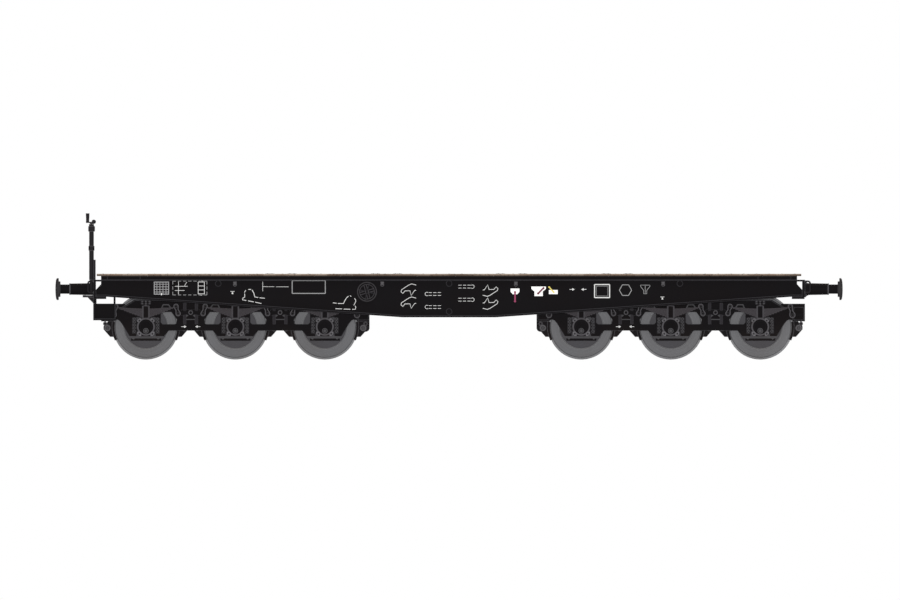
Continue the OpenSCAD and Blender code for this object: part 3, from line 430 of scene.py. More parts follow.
arrows = arrow_lines(2.060, 1.176, 1) + arrow_lines(2.262, 1.176, -1)
anchors = anchor_lines(-3.631, 1.124) + anchor_lines(3.577, 1.032)
square = closed(oblong(2.440, 2.692, 1.038, 1.258))
inner_square = closed(oblong(2.470, 2.662, 1.066, 1.230))
hexagon = closed(ring(2.958, 1.164, 0.103, 6))
FUNNEL = 3.289
half_funnel = [(0, 1.248), (0.078, 1.248), (0.078, 1.226), (0.026, 1.160), (0.026, 1.104), (0, 1.104)]
funnel = [[(FUNNEL + s * x, z) for x, z in half_funnel] for s in (-1, 1)]
funnel += [[(FUNNEL, 1.118), (FUNNEL, 1.236)]]

white_marks = [brushed(note_box, LINE * 0.6), brushed(ladder, LINE * 0.7), brushed(rules, LINE * 0.5),
               brushed(hump, LINE * 0.85), brushed(hooks, LINE * 0.8), brushed(pins, LINE * 0.6),
               brushed(arrows, LINE * 0.7), brushed(anchors, LINE * 0.5), brushed(square, LINE * 1.4)]
grey_marks = [brushed(weight_frame, LINE * 1.2), brushed(box_frame, LINE * 0.7),
              brushed(inner_square, LINE * 0.5), brushed(hexagon, LINE), brushed(funnel, LINE * 0.7)]
piece("grey_marks", "underframe", grey_lacquer, *copies(joined(grey_marks), both_sides()))
turned_marks = copies(joined(white_marks), both_sides())
mirrored_marks = copies(brushed(hump_two, LINE * 0.85), [Matrix.Identity(4), FAR_SIDE])
piece("white_marks", "underframe", white_lacquer, *turned_marks, *mirrored_marks)

# Floor boards
# Oak boards laid across the wagon, gone grey-brown in the weather, their upper edges rubbed off, and
# painted darker towards their lower edges as painted shade. Each is bolted to the edge channels and the
# stringers, the round heads sunk.
floor_low, floor_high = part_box("floor_planks")
BOARDS = 55
BOLT_ROWS = (-1.438, -0.878, -0.350, 0.350, 0.878, 1.438)
pitch = (floor_high.x - floor_low.x) / BOARDS
dice = random.Random(5)


def weathered_timber_and_painted_shade(name, fresh, grey, dark):
    made, sockets, place = surface(name, 0.82)
    board = (place.axis("X") - floor_low.x) * (1 / pitch)
    number = board.math("FLOOR", board)
    luck = number.node("ShaderNodeTexWhiteNoise", {"W": number}, noise_dimensions="1D")
    offset = number.node("ShaderNodeCombineXYZ", {2: number * 3.7})
    moved = place.node("ShaderNodeVectorMath", {0: place, 1: offset}, operation="ADD")
    grain = moved.stretch(26, 1.3, 26).noise(1.6, 9)
    streaks = moved.stretch(9, 0.8, 9).noise(1.0, 4)
    tone = (luck * 0.45 + streaks * 0.55).between(0.22, 0.72).tint(fresh, grey)
    cracks = grain.between(0.55, 0.72)
    stains = place.noise(1.1, 5).between(0.50, 0.72) * 0.45
    # Painted shade: each board's edge darkens towards its lower side.
    low = 1 - place.axis("Z").between(floor_low.z + 0.006, floor_high.z - 0.003)
    old = stains.tint(cracks.tint(tone, dark), dark)
    link((low * 0.8).tint(old, dark), sockets["Base Color"])
    link(grain * 0.15 + 0.72, sockets["Roughness"])
    bump = place.node("ShaderNodeBump", {"Strength": 0.5, "Distance": 0.003, "Height": grain})
    link(bump, sockets["Normal"])
    return made


board_timber = weathered_timber_and_painted_shade("board_timber", (130, 111, 96), (156, 141, 127), (40, 32, 27))
board_x = [floor_low.x + (i + 0.5) * pitch for i in range(BOARDS)]
bpy.ops.mesh.primitive_cube_add(size=1)
board = bpy.context.object
board.scale = (pitch, floor_high.y - floor_low.y, floor_high.z - floor_low.z)
bpy.ops.object.transform_apply(location=False, rotation=False)
for edge in board.data.edges:
    edge.select = all(board.data.vertices[v].co.z > 0 for v in edge.vertices)
bpy.ops.object.mode_set(mode="EDIT")
bpy.ops.mesh.select_mode(type="EDGE")
bpy.ops.mesh.bevel(offset=0.003, segments=2)
bpy.ops.object.mode_set(mode="OBJECT")
laid = [at(x, 0, (floor_low.z + floor_high.z) / 2 + dice.uniform(-0.0012, 0.0)) for x in board_x]
boards = piece("floor_boards", "underframe", board_timber, *copies(board, laid))
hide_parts("floor_planks")


def round_head(radius, height):
    """A low round bolt head, its seat at the origin, looking up."""
    seat = (0, 0, height / 2)
    bpy.ops.mesh.primitive_cylinder_add(vertices=10, radius=radius, depth=height, location=seat)
    bpy.ops.object.transform_apply()
    head = bpy.context.object
    bpy.ops.object.mode_set(mode="EDIT")
    bpy.ops.mesh.select_all(action="DESELECT")
    bpy.ops.object.mode_set(mode="OBJECT")
    for face in head.data.polygons:
        face.select = face.normal.z > 0.9
    bpy.ops.object.mode_set(mode="EDIT")
    bpy.ops.mesh.inset(thickness=radius * 0.45, depth=height * 0.35)
    bpy.ops.object.mode_set(mode="OBJECT")
    return head


bolt_iron = black_paint("bolt_iron", (48, 44, 43), (98, 92, 88), (82, 66, 54), grime=0.8)
heads = [at(x, y, floor_high.z - 0.0035) for x in board_x for y in BOLT_ROWS]
piece("floor_bolts", "underframe", bolt_iron, *copies(round_head(0.017, 0.004), heads))

# Lashing plates
# Low pressed-steel plates with sloping ends, in pairs along the edges of the floor, four bolts in each.
plate_iron = black_paint("plate_iron", (40, 37, 38), (104, 100, 98), (76, 64, 54), grime=0.7)
dress(plate_iron, "lashing_plates")
LASH_X = (-2.818, -1.048, 1.048, 2.818)
LASH_PITCH = 0.370
studs = []
for side in both_sides():
    for x in LASH_X:
        for plate in (x - LASH_PITCH / 2, x + LASH_PITCH / 2):
            studs += [side @ at(plate + dx, y, floor_high.z + 0.0035) for dx in (-0.036, 0.036)
                      for y in (-1.500, -1.428)]
piece("lashing_bolts", "underframe", plate_iron, *copies(round_head(0.011, 0.003), studs))

# Buffers
# A forged ram with a domed head slides in a turned steel housing, whose square base is held by four bolts.
# The head is bare rubbed steel, the ram black with grease, and a grey collar ends the housing.
BUFFER = (5.960, 0.875, 1.181)


def turned(name, profile, steps=48):
    """A profile of (along, radius) points spun about the X axis at the origin."""
    mesh = bpy.data.meshes.new(name)
    edges = [(i, i + 1) for i in range(len(profile) - 1)]
    mesh.from_pydata([(along, 0, radius) for along, radius in profile], edges, [])
    made = bpy.data.objects.new(name, mesh)
    bpy.context.collection.objects.link(made)
    pick(made)
    bpy.ops.object.mode_set(mode="EDIT")
    bpy.ops.mesh.select_all(action="SELECT")
    bpy.ops.mesh.spin(steps=steps, angle=2 * math.pi, center=(0, 0, 0), axis=(1, 0, 0))
    bpy.ops.mesh.select_all(action="SELECT")
    bpy.ops.mesh.remove_doubles(threshold=0.00005)
    bpy.ops.mesh.normals_make_consistent(inside=False)
    bpy.ops.object.mode_set(mode="OBJECT")
    return made


def smooth(made, degrees=35):
    pick(made)
    bpy.ops.object.shade_smooth_by_angle(angle=math.radians(degrees))
    return made


def finished(made, finishes, which):
    """Gives a shape its finishes; which() tells a finish's number from the middle of a face."""
    made.data.materials.clear()
    for finish in finishes:
        made.data.materials.append(finish)
    for face in made.data.polygons:
        face.material_index = int(which(face.center))
    return made


def block(size, middle, rounding, steps=2):
    """A box with rounded edges."""
    bpy.ops.mesh.primitive_cube_add(size=1, location=middle)
    made = bpy.context.object
    made.scale = size
    bpy.ops.object.transform_apply()
    bpy.ops.object.mode_set(mode="EDIT")
    bpy.ops.mesh.select_all(action="SELECT")
    bpy.ops.mesh.bevel(offset=rounding, segments=steps)
    bpy.ops.object.mode_set(mode="OBJECT")
    return made


def hexagon_head(across, height, washer_paint, head_paint):
    """A hexagon head on a round washer, its seat at the origin, looking along -X."""
    shapes = []
    for sides, radius, depth, finish in ((14, across * 0.78, height * 0.3, washer_paint),
                                         (6, across * 0.56, height, head_paint)):
        bpy.ops.mesh.primitive_cylinder_add(vertices=sides, radius=radius, depth=depth,
                                            location=(-depth / 2, 0, 0), rotation=(0, math.radians(90), 0))
        shapes.append(bpy.context.object)
        shapes[-1].data.materials.append(finish)
    head = shapes[-1]
    bpy.ops.object.transform_apply()
    for face in head.data.polygons:
        face.select = face.normal.x < -0.9
    bpy.ops.object.mode_set(mode="EDIT")
    bpy.ops.mesh.bevel(offset=height * 0.16, segments=1)
    bpy.ops.object.mode_set(mode="OBJECT")
    return joined(shapes)


def four_buffers():
    """Places of the four buffers; a shape for them points along -X from the headstock's face."""
    return [side @ at(-BUFFER[0], y, BUFFER[2]) for y in (-BUFFER[1], BUFFER[1]) for side in both_sides()]


FACE = -0.640
HEAD_R = 0.184
DOME = 1.2
dome = []
for i in range(9):
    a = DOME * i / 8
    dome.append((FACE + 0.013 * (1 - math.cos(a)) / (1 - math.cos(DOME)),
                 (HEAD_R - 0.024) * math.sin(a) / math.sin(DOME)))
head_profile = dome + [(FACE + 0.022, HEAD_R - 0.005), (FACE + 0.031, HEAD_R), (FACE + 0.051, HEAD_R),
                       (FACE + 0.056, HEAD_R - 0.004), (FACE + 0.057, 0.130), (FACE + 0.080, 0.130),
                       (FACE + 0.084, 0.126), (FACE + 0.085, 0.080), (FACE + 0.088, 0.078),
                       (-0.368, 0.078), (-0.367, 0.0)]
buffer_steel = black_paint("buffer_steel", (42, 41, 42), (70, 69, 70), (58, 52, 48), grime=0.3)
ram_grease = black_paint("ram_grease", (14, 12, 14), (44, 42, 44), DUST, grime=0.2)
ram_head = smooth(turned("buffer_head", head_profile, 56))
finished(ram_head, (buffer_steel, ram_grease), lambda spot: spot.x > FACE + 0.0852)
buffer_discs = piece("buffer_discs", "underframe", None, *copies(ram_head, four_buffers()))
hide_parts("buffer_heads")

housing_profile = [(-0.0200, 0.0), (-0.0200, 0.122), (-0.0260, 0.113), (-0.0540, 0.1005),
                   (-0.110, 0.0985), (-0.386, 0.0935), (-0.390, 0.097), (-0.405, 0.097),
                   (-0.407, 0.0955), (-0.407, 0.079), (-0.360, 0.0785)]
housing_paint = black_paint("housing_paint", BLACK, (74, 73, 76), DUST, grime=0.3)
collar_grey = black_paint("collar_grey", (66, 65, 67), (84, 83, 85), DUST, grime=0.3)
housing = smooth(turned("buffer_housing", housing_profile, 48))
finished(housing, (housing_paint, collar_grey), lambda spot: spot.x < -0.388)
base = block((0.020, 0.276, 0.276), (-0.010, 0, 0), 0.005)
base.data.materials.append(housing_paint)
bolts = copies(hexagon_head(0.036, 0.020, collar_grey, housing_paint),
               [at(-0.0195, y, z) for y in (-0.105, 0.105) for z in (-0.105, 0.105)])
case = joined([housing, base, *bolts])
housings = piece("buffer_cases", "underframe", None, *copies(case, four_buffers()))
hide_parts("buffer_housings")

# Draw hooks, grab rails and the hand brake
# Black painted forgings and bent bars. The brake's column is a tube with a gear head, and the ribs and edge
# of its
# foot plate are light grey: bare, walked-on steel and a painted highlight along its top.
fitting_paint = black_paint("fitting_paint", (30, 28, 30), (78, 76, 78), DUST, grime=0.3)
dress(fitting_paint, "draw_hooks", "grab_rails", "hand_brake_column", "hand_brake_crank")
dress(frame_paint, "end_steps")
hook_iron = black_paint("hook_iron", (72, 70, 72), (92, 90, 92), DUST, grime=0.3)
dress(hook_iron, "rope_hooks")
foot_low, foot_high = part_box("hand_brake_column")
FOOT_X = -6.035
FOOT_L = 0.146
FOOT_TOP = 1.080
treads = []
for i in range(9):
    tread = at(FOOT_X, foot_low.y + 0.03 + 0.042 * i, FOOT_TOP + 0.004)
    treads.append(tread @ Matrix.Diagonal((FOOT_L, 0.010, 0.004, 1)))
edge = at(FOOT_X, (foot_low.y + foot_high.y) / 2, FOOT_TOP - 0.005)
treads.append(edge @ Matrix.Diagonal((FOOT_L, foot_high.y - foot_low.y + 0.004, 0.016, 1)))
# Painted highlight and bare steel: the foot plate's ribs and edge are light grey.
bright_steel_and_highlight = black_paint("bright_steel_and_highlight", (118, 118, 118), (140, 140, 140), (84, 76, 70), grime=0.5)
rib = block((1, 1, 1), (0, 0, 0), 0.12, 1)
piece("foot_plate_ribs", "underframe", bright_steel_and_highlight, *copies(rib, treads))

# Hand wheels of the parking brake
# Cast wheels on the sills, painted black and rubbed grey: a round rim, a thinner ring inside it, and four
# spokes with a raised rib along each side.
wheel_rub = black_paint("wheel_rub", (50, 48, 50), (66, 64, 66), DUST, edge_width=0.006)
HAND_WHEEL = (-1.376, 1.137)


def rubbed_or_painted(spot):
    reach = math.hypot(abs(spot.x) + HAND_WHEEL[0], spot.z - HAND_WHEEL[1])
    return not (reach > 0.14 or 0.018 < reach < 0.031)


finished(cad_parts["side_hand_wheels"], (wheel_rub, frame_paint), rubbed_or_painted)
bpy.ops.mesh.primitive_torus_add(major_radius=0.124, minor_radius=0.007, major_segments=40,
                                 minor_segments=6, rotation=(math.radians(90), 0, 0))
wheel_parts = [bpy.context.object]
bpy.ops.mesh.primitive_cube_add(size=1)
rib = bpy.context.object
rib.scale = (0.095, 0.010, 0.012)
bpy.ops.object.transform_apply(location=False, rotation=False)
turns = [Matrix.Rotation(math.radians(-16 + 90 * i), 4, "Y") for i in range(4)]
wheel_parts += copies(rib, [turn @ at(0.078, 0, side) for turn in turns for side in (-0.020, 0.020)])
seat = at(HAND_WHEEL[0], -1.446, HAND_WHEEL[1])
piece("hand_wheel_ribs", "underframe", wheel_rub, *copies(joined(wheel_parts), [seat, FAR_SIDE @ seat]))

# Control levers and note holders
# White enamelled plates with a red lever for the release, a dark red one for the load and a yellow one
# for the goods brake. The note holders are welded from bright wire, with a white clip below.
white_enamel = lacquer("white_enamel", (235, 235, 232), (186, 184, 180))
red_enamel = lacquer("red_enamel", (130, 52, 82), (96, 40, 60))
deep_red_enamel = lacquer("deep_red_enamel", (96, 28, 50), (70, 24, 38))
yellow_enamel = lacquer("yellow_enamel", (206, 190, 96), (150, 138, 80))


def lever_colour(spot):
    if abs(spot.y) < 1.4122:
        return 0
    return 1 if spot.x < 1.25 else 2 if spot.x < 1.66 else 3


enamels = (white_enamel, red_enamel, deep_red_enamel, yellow_enamel)
finished(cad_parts["control_levers"], enamels, lever_colour)
wire_zinc = black_paint("wire_zinc", (128, 128, 129), (158, 157, 158), (104, 100, 96))
dress(wire_zinc, "note_holders")
clip_white = lacquer("clip_white", (232, 232, 230), (190, 188, 184))
clip = block((0.013, 0.008, 0.034), (-4.821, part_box("note_holders")[0].y - 0.002, 1.096), 0.002)
piece("note_clips", "underframe", clip_white, *copies(clip, both_sides()))

# Air brake under the wagon's middle
# Cylinder, reservoirs, pipe and rigging, all painted black and dusty with brake iron.
air_paint = black_paint("air_paint", (30, 28, 30), (74, 72, 74), (70, 58, 50), grime=0.6)
dress(air_paint, "brake_cylinder", "air_reservoirs", "brake_pipe", "brake_rigging")

# Bogie side frames and cross beams
# Riveted plate frames, painted black. Bolted guides stand beside each axle box, bracket plates carry the
# levers between the springs, and a foot strip and a tie bar close each axle guard from below.
bogie_paint = black_paint("bogie_paint", (14, 12, 14), (70, 69, 72), (58, 50, 45), edge_width=0.011)
rubbed_iron = black_paint("rubbed_iron", (66, 65, 67), (84, 83, 85), DUST, edge_width=0.006)
thin_paint = black_paint("thin_paint", (40, 38, 41), (56, 54, 57), DUST, edge_width=0.008)
sooty_paint = black_paint("sooty_paint", BLACK, (24, 22, 24), DUST, edge_width=0.006)
dress(bogie_paint, *[f"bogie_{b}_{part}" for b in "ab" for part in ("side_frames", "cross_beams")])
PIVOTS = {"a": -3.583, "b": 3.717}
AXLES = (-1.5, 0.0, 1.5)
LEVERS = (-0.75, 0.75)
AXLE_Z = 0.550
NEAR_FACE = -0.925
STRIP_X = (0.652, 0.848)


def plate_finish(spot, pivot):
    """Bogie paint 0, thin paint on the bracket strips 1, rubbed foot strips 2, sooty tie bars 3."""
    if abs(spot.y) > 0.9 and spot.z < 0.354:
        return 3
    if abs(spot.y) > 0.9605 and 0.356 < spot.z < 0.388:
        return 2
    return abs(spot.y) > 0.9645 and min(abs(abs(spot.x - pivot) - x) for x in STRIP_X) < 0.024


for b in "ab":
    finished(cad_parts[f"bogie_{b}_side_frames"], (bogie_paint, thin_paint, rubbed_iron, sooty_paint),
             lambda spot: plate_finish(spot, PIVOTS[b]))


def facing_near(x, y, z):
    """Place of a shape that looks along -X at the origin, turned to look out of the near side."""
    return at(x, y, z) @ Matrix.Rotation(math.radians(90), 4, "Z")


def slab(outlines, thickness, rounding=0.002, steps=1):
    """A rounded plate from outlines of (along, up) points, its back at the origin, looking along -Y."""
    flat = bpy.data.curves.new("slab", "CURVE")
    flat.dimensions = "2D"
    flat.fill_mode = "BOTH"
    flat.extrude = thickness / 2 - rounding
    flat.bevel_depth = rounding
    flat.bevel_resolution = steps - 1
    flat.offset = -rounding
    for outline in outlines:
        spline = flat.splines.new("POLY")
        spline.points.add(len(outline) - 1)
        for point, (x, z) in zip(spline.points, outline):
            point.co = (x, z, 0, 1)
        spline.use_cyclic_u = True
    made = bpy.data.objects.new("slab", flat)
    bpy.context.collection.objects.link(made)
    made.rotation_euler = (math.radians(90), 0, 0)
    made.location = (0, -thickness / 2, 0)
    pick(made)
    bpy.ops.object.convert(target="MESH")
    bpy.ops.object.transform_apply()
    bpy.ops.object.mode_set(mode="EDIT")
    bpy.ops.mesh.select_all(action="SELECT")
    bpy.ops.mesh.remove_doubles(threshold=0.00005)
    bpy.ops.mesh.normals_make_consistent(inside=False)
    bpy.ops.object.mode_set(mode="OBJECT")
    return made


def on_bogie(b, places):
    """The near side's places, about the bogie's middle, on both sides of a bogie."""
    centre = at(PIVOTS[b], 0, 0)
    return [centre @ side @ place for side in both_sides() for place in places]


def beside_axles(offsets, y, heights):
    """Places that look out of the near side, at these offsets from each axle."""
    return [facing_near(axle + dx, y, z) for axle in AXLES for dx in offsets for z in heights]


BOX_FACE = -1.0395
guide_bolts = beside_axles((-0.194, 0.194), -0.9585, (0.474, 0.527, 0.580, 0.633, 0.680))
stop_bolts = beside_axles((-0.060, 0.0, 0.060), BOX_FACE, (0.939, 0.976))
foot_bolts = beside_axles((-0.208, 0.208), -0.9545, (0.358,))
STOP = [(0.252, 0.854), (0.418, 0.854), (0.418, 0.876), (0.384, 0.926), (0.286, 0.926)]
BELL = [(0.0, 0.834), (0.032, 0.822), (0.045, 0.790), (0.050, 0.766), (0.080, 0.744), (0.070, 0.712),
        (0.048, 0.728), (0.030, 0.748), (0.0, 0.754)]


def outlined(outline, thickness, rim_paint, face_paint, rim=0.016):
    """A slab with a raised, rubbed rim around a sunk black face."""
    made = slab([outline], thickness, 0.001)
    made.data.materials.append(rim_paint)
    made.data.materials.append(face_paint)
    for face in made.data.polygons:
        face.select = face.normal.y < -0.99 and face.center.y < -thickness + 0.0005
    pick(made)
    bpy.ops.object.mode_set(mode="EDIT")
    bpy.ops.mesh.select_mode(type="FACE")
    bpy.ops.mesh.inset(thickness=rim, depth=-0.003)
    bpy.ops.object.mode_set(mode="OBJECT")
    for face in made.data.polygons:
        face.material_index = 1 if face.select else 0
    return made


bracket = outlined(oblong(-0.165, 0.165, 0.737, 0.839), 0.012, rubbed_iron, bogie_paint)
lip = slab([oblong(-0.087, 0.087, 0.664, 0.681)], 0.030)
bell = slab([BELL + [(-x, z) for x, z in reversed(BELL[1:-1])]], 0.020)
for part in (lip, bell):
    part.data.materials.append(rubbed_iron)
bracket = joined([lip, bell, bracket])
stop = outlined(STOP, 0.006, rubbed_iron, bogie_paint)
stop_plate = outlined(oblong(-0.084, 0.084, 0.926, 0.990), 0.009, thin_paint, bogie_paint, 0.010)


def again(shape, places):
    """Copies of a shape that is kept."""
    twin = shape.copy()
    twin.data = shape.data.copy()
    bpy.context.collection.objects.link(twin)
    return copies(twin, places)


bracket_seats = [at(x, NEAR_FACE, 0) for x in LEVERS]
stop_seats = [at(axle, NEAR_FACE - 0.014, 0) @ Matrix.Diagonal((way, 1, 1, 1))
              for axle in AXLES for way in (-1, 1) if abs(axle + way) < 2]
plate_seats = [at(axle, -1.0305, 0) for axle in AXLES]
for b in "ab":
    bolts = copies(hexagon_head(0.031, 0.016, rubbed_iron, thin_paint), on_bogie(b, guide_bolts))
    nuts = copies(hexagon_head(0.026, 0.018, rubbed_iron, rubbed_iron), on_bogie(b, foot_bolts))
    studs = copies(hexagon_head(0.022, 0.010, thin_paint, rubbed_iron), on_bogie(b, stop_bolts))
    plates = again(bracket, on_bogie(b, bracket_seats)) + again(stop, on_bogie(b, stop_seats))
    plates += again(stop_plate, on_bogie(b, plate_seats))
    piece(f"bogie_{b}_frame_bolts", f"bogie_{b}", None, *(bolts + nuts + studs + plates))
for shape in (bracket, stop, stop_plate):
    bpy.data.objects.remove(shape)

# Arrows on the bogies
# Small white arrows, brushed on the side frames between two axles, point at each other.
# They are of the same lacquer as the marks on the sills.
ARROW_Z = 0.552
ARROW_X = {"a": (-0.864, -0.626), "b": (-0.879, -0.651)}


def on_plane(shape, y):
    shape.location.y = y
    pick(shape)
    bpy.ops.object.transform_apply()
    return shape


for b in "ab":
    left, right = ARROW_X[b]
    arrows = arrow_lines(PIVOTS[b] + left, ARROW_Z, 1) + arrow_lines(PIVOTS[b] + right, ARROW_Z, -1)
    stroke = on_plane(brushed(arrows, LINE * 0.7), NEAR_FACE - WEB_FACE)
    piece(f"bogie_{b}_marks", f"bogie_{b}", white_lacquer, *copies(stroke, both_sides(PIVOTS[b])))

# Axle boxes
# Cast boxes with a round cover in front, four bolts in the corners and an oil plug low on the cover.
# The casting is a little greyer than the frames, and the covers are greasy black.
AXLE_ROW = (0.067, 3.650)


def cast_box(name, body, band, lug):
    """Black casting with a grey band around the cover and four grey lugs, by distance from the axle."""
    made, sockets, place = surface(name, 0.7)
    along = place.axis("X") - AXLE_ROW[0]
    up = place.axis("Z") - AXLE_Z
    reach = place.math("PINGPONG", place.math("ABSOLUTE", along) - AXLE_ROW[1], 0.75)
    rise = place.math("ABSOLUTE", up)
    radius = place.math("SQRT", reach * reach + rise * rise)
    # Painted highlight and wear: a grey band round the cover's edge and four grey lugs, placed by radius.
    on_band = 1 - radius.between(0.146, 0.154)
    on_lug = reach.between(0.074, 0.082) * rise.between(0.078, 0.086) * (1 - reach.between(0.142, 0.148))
    soiled = place.noise(6, 4).between(0.45, 0.7) * 0.25
    tone = on_lug.tint(on_band.tint(body, band), lug)
    link(soiled.tint(tone, DUST), sockets["Base Color"])
    return made


box_paint = cast_box("box_paint", BLACK, (76, 74, 77), (95, 93, 96))
cover_paint = black_paint("cover_paint", (12, 10, 12), (30, 28, 30), (36, 33, 30), edge_width=0.008)
for b in "ab":
    finished(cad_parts[f"bogie_{b}_axle_boxes"], (box_paint, cover_paint),
             lambda spot: abs(spot.y) > abs(BOX_FACE) + 0.001)
box_bolts = beside_axles((-0.109, 0.109), BOX_FACE, (AXLE_Z - 0.117, AXLE_Z + 0.104))
plug_profile = [(-0.005, 0.0), (-0.005, 0.026), (-0.008, 0.028), (-0.011, 0.034), (-0.011, 0.044),
                (-0.006, 0.048), (0.0, 0.048), (0.0, 0.0)]
plug_seats = beside_axles((0,), -1.1375, (AXLE_Z - 0.068,))
oil_plug = smooth(turned("oil_plug", plug_profile, 28))
finished(oil_plug, (rubbed_iron, cover_paint), lambda spot: 0.026 < math.hypot(spot.y, spot.z) < 0.033)
for b in "ab":
    corner = copies(hexagon_head(0.026, 0.012, rubbed_iron, thin_paint), on_bogie(b, box_bolts))
    piece(f"bogie_{b}_box_bolts", f"bogie_{b}", None, *(corner + again(oil_plug, on_bogie(b, plug_seats))))
bpy.data.objects.remove(oil_plug)

# Leaf springs
# Ten leaves of spring steel, each shorter than the one above, clamped by a buckle on the axle box and
# bolted through. The top leaf ends in rolled eyes. Unpainted dark grey steel, lighter along the edges.
LEAVES = 10
LEAF_T = 0.0145
LEAF_W = 0.100
EYE = (0.505, 0.892)
SPRING_HALF = EYE[0]
SPRING_TOP = 0.855
CAMBER = 0.030
SPRING_Y = -1.000
leaf_step = (SPRING_HALF - 0.096) / (LEAVES - 1)
spring_steel = black_paint("spring_steel", (58, 55, 58), (84, 82, 84), (64, 56, 50), edge_width=0.004)


def spring_height(x):
    return SPRING_TOP + CAMBER * (x / SPRING_HALF) ** 2


def leaf_outline(half, drop):
    """One leaf along the spring's curve, a hair thinner than its pitch, so that a joint shows."""
    stations = [-half + 2 * half * k / 12 for k in range(13)]
    top = [(x, spring_height(x) - drop) for x in stations]
    low = [(x, spring_height(x) - drop - LEAF_T + 0.0012) for x in reversed(stations)]
    return top + low


spring_shapes = []
for i in range(LEAVES):
    outline = leaf_outline(SPRING_HALF - i * leaf_step, i * LEAF_T)
    spring_shapes.append(slab([outline], LEAF_W - (0.002 if i % 2 else 0), 0.0015))
for x in (-EYE[0], EYE[0]):
    spring_shapes.append(slab([ring(x, EYE[1], 0.030, 28), ring(x, EYE[1], 0.0175, 20)], LEAF_W, 0.002))
buckle_paint = black_paint("buckle_paint", (64, 62, 65), (76, 74, 77), DUST, edge_width=0.005)
buckle = outlined(oblong(-0.050, 0.050, 0.690, 0.905), LEAF_W + 0.018, buckle_paint, bogie_paint, 0.011)
buckle.location.y = 0.009
band = slab([oblong(-0.064, 0.064, 0.694, 0.901)], LEAF_W + 0.008, 0.002)
band.location.y = 0.004
band.data.materials.append(buckle_paint)
upright = at(0, -LEAF_W / 2, 0.905) @ Matrix.Rotation(math.radians(90), 4, "Y")
cap = copies(hexagon_head(0.036, 0.018, buckle_paint, buckle_paint), [upright])
for leaf in spring_shapes:
    leaf.data.materials.append(spring_steel)
spring = joined(spring_shapes + [buckle, band] + cap)
for b in "ab":
    seats = [at(axle, SPRING_Y + LEAF_W / 2, 0) for axle in AXLES]
    stacks = piece(f"bogie_{b}_spring_stacks", f"bogie_{b}", None, *again(spring, on_bogie(b, seats)))
    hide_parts(f"bogie_{b}_springs")
bpy.data.objects.remove(spring)

# Spring links
# Forged shackles with a narrow waist hang from the spring eyes to the ends of the balancing levers, or to a
# bracket at the bogie's ends. Each pin has a hexagon nut. The lever rocks on a stout pin with a round cap.
link_paint = black_paint("link_paint", (14, 12, 14), (60, 58, 60), (48, 44, 40), edge_width=0.008)
link_rim = black_paint("link_rim", (72, 70, 73), (82, 80, 82), DUST, edge_width=0.006)
LOW = (0.541, 0.770)
END_LOW = (0.540, 0.747)
EYE_R = 0.045
WAIST = 0.027
LEVER_R = 0.034
LEVER_Z = 0.788
LINK_Y = (-1.052, -0.932)
LINK_T = 0.016


def shackle_outline(low, low_radius):
    """Two round eyes, the upper one at the spring's, that run into a narrow waist."""
    top, low = Vector(EYE), Vector(low)
    along = (low - top).normalized()
    across = Vector((-along.y, along.x))
    middle = (top + low) / 2
    points = []
    for centre, sign, size in ((top, -1, EYE_R), (low, 1, low_radius)):
        for i in range(13):
            a = math.radians(-118 + 236 * i / 12)
            points.append(centre + sign * size * (math.cos(a) * along + math.sin(a) * across))
        points.append(middle + sign * WAIST * across)
    return [tuple(p) for p in points]


def lever_outline(reach):
    """A balancing lever: round eyes at both ends, deeper at its pivot."""
    points = []
    for sign in (1, -1):
        for i in range(9):
            a = math.radians(-80 + 160 * i / 8)
            points.append((sign * (reach + LEVER_R * math.cos(a)), LOW[1] + sign * LEVER_R * math.sin(a)))
        shoulder = LEVER_Z + sign * 0.028
        points += [(sign * 0.075, shoulder), (0, LEVER_Z + (0.044 if sign > 0 else -0.058)),
                   (-sign * 0.075, shoulder)]
    return points


def pinned(x, z):
    """A pin right through both cheeks of a shackle, with a nut on its near end."""
    pin = turned("pin", [(0, 0), (0, 0.017), (0.140, 0.017), (0.140, 0)], 16)
    pin.data.materials.append(link_paint)
    pin.matrix_world = facing_near(x, -1.072, z)
    nut = hexagon_head(0.034, 0.012, link_paint, link_paint)
    nut.matrix_world = facing_near(x, -1.068, z)
    return [pin, nut]


def shackle_pair(low, low_radius):
    outline = shackle_outline(low, low_radius)
    cheeks = [on_plane(outlined(outline, LINK_T, link_rim, link_paint, 0.015), y) for y in LINK_Y]
    return cheeks + pinned(*EYE) + pinned(*low)


inner = joined(shackle_pair(LOW, EYE_R))
end_arm = on_plane(slab([oblong(0.510, 0.710, 0.717, 0.777)], 0.098, 0.006, 2), -0.951)
end_arm.data.materials.append(link_paint)
outer = joined(shackle_pair(END_LOW, 0.052) + [end_arm])
beam = on_plane(slab([lever_outline(LEVERS[1] - LOW[0])], 0.050, 0.005, 2), -0.975)
beam.data.materials.append(link_paint)
boss_profile = [(-0.046, 0), (-0.046, 0.020), (-0.040, 0.024), (-0.018, 0.024), (-0.018, 0.036),
                (-0.004, 0.038), (0.1, 0.038), (0.1, 0)]
boss = finished(turned("boss", boss_profile, 28), (link_rim, link_paint), lambda spot: spot.x < -0.030)
boss.matrix_world = facing_near(0, -1.025, LEVER_Z)
lever = joined([beam, boss])
for b in "ab":
    parts = again(lever, on_bogie(b, [at(x, 0, 0) for x in LEVERS]))
    for axle in AXLES:
        for way in (1, -1):
            shape = outer if abs(axle + way) > 2 else inner
            parts += again(shape, on_bogie(b, [at(axle, 0, 0) @ Matrix.Diagonal((way, 1, 1, 1))]))
    links = piece(f"bogie_{b}_shackles", f"bogie_{b}", None, *parts)
    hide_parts(f"bogie_{b}_spring_links")
for shape in (inner, outer, lever):
    bpy.data.objects.remove(shape)

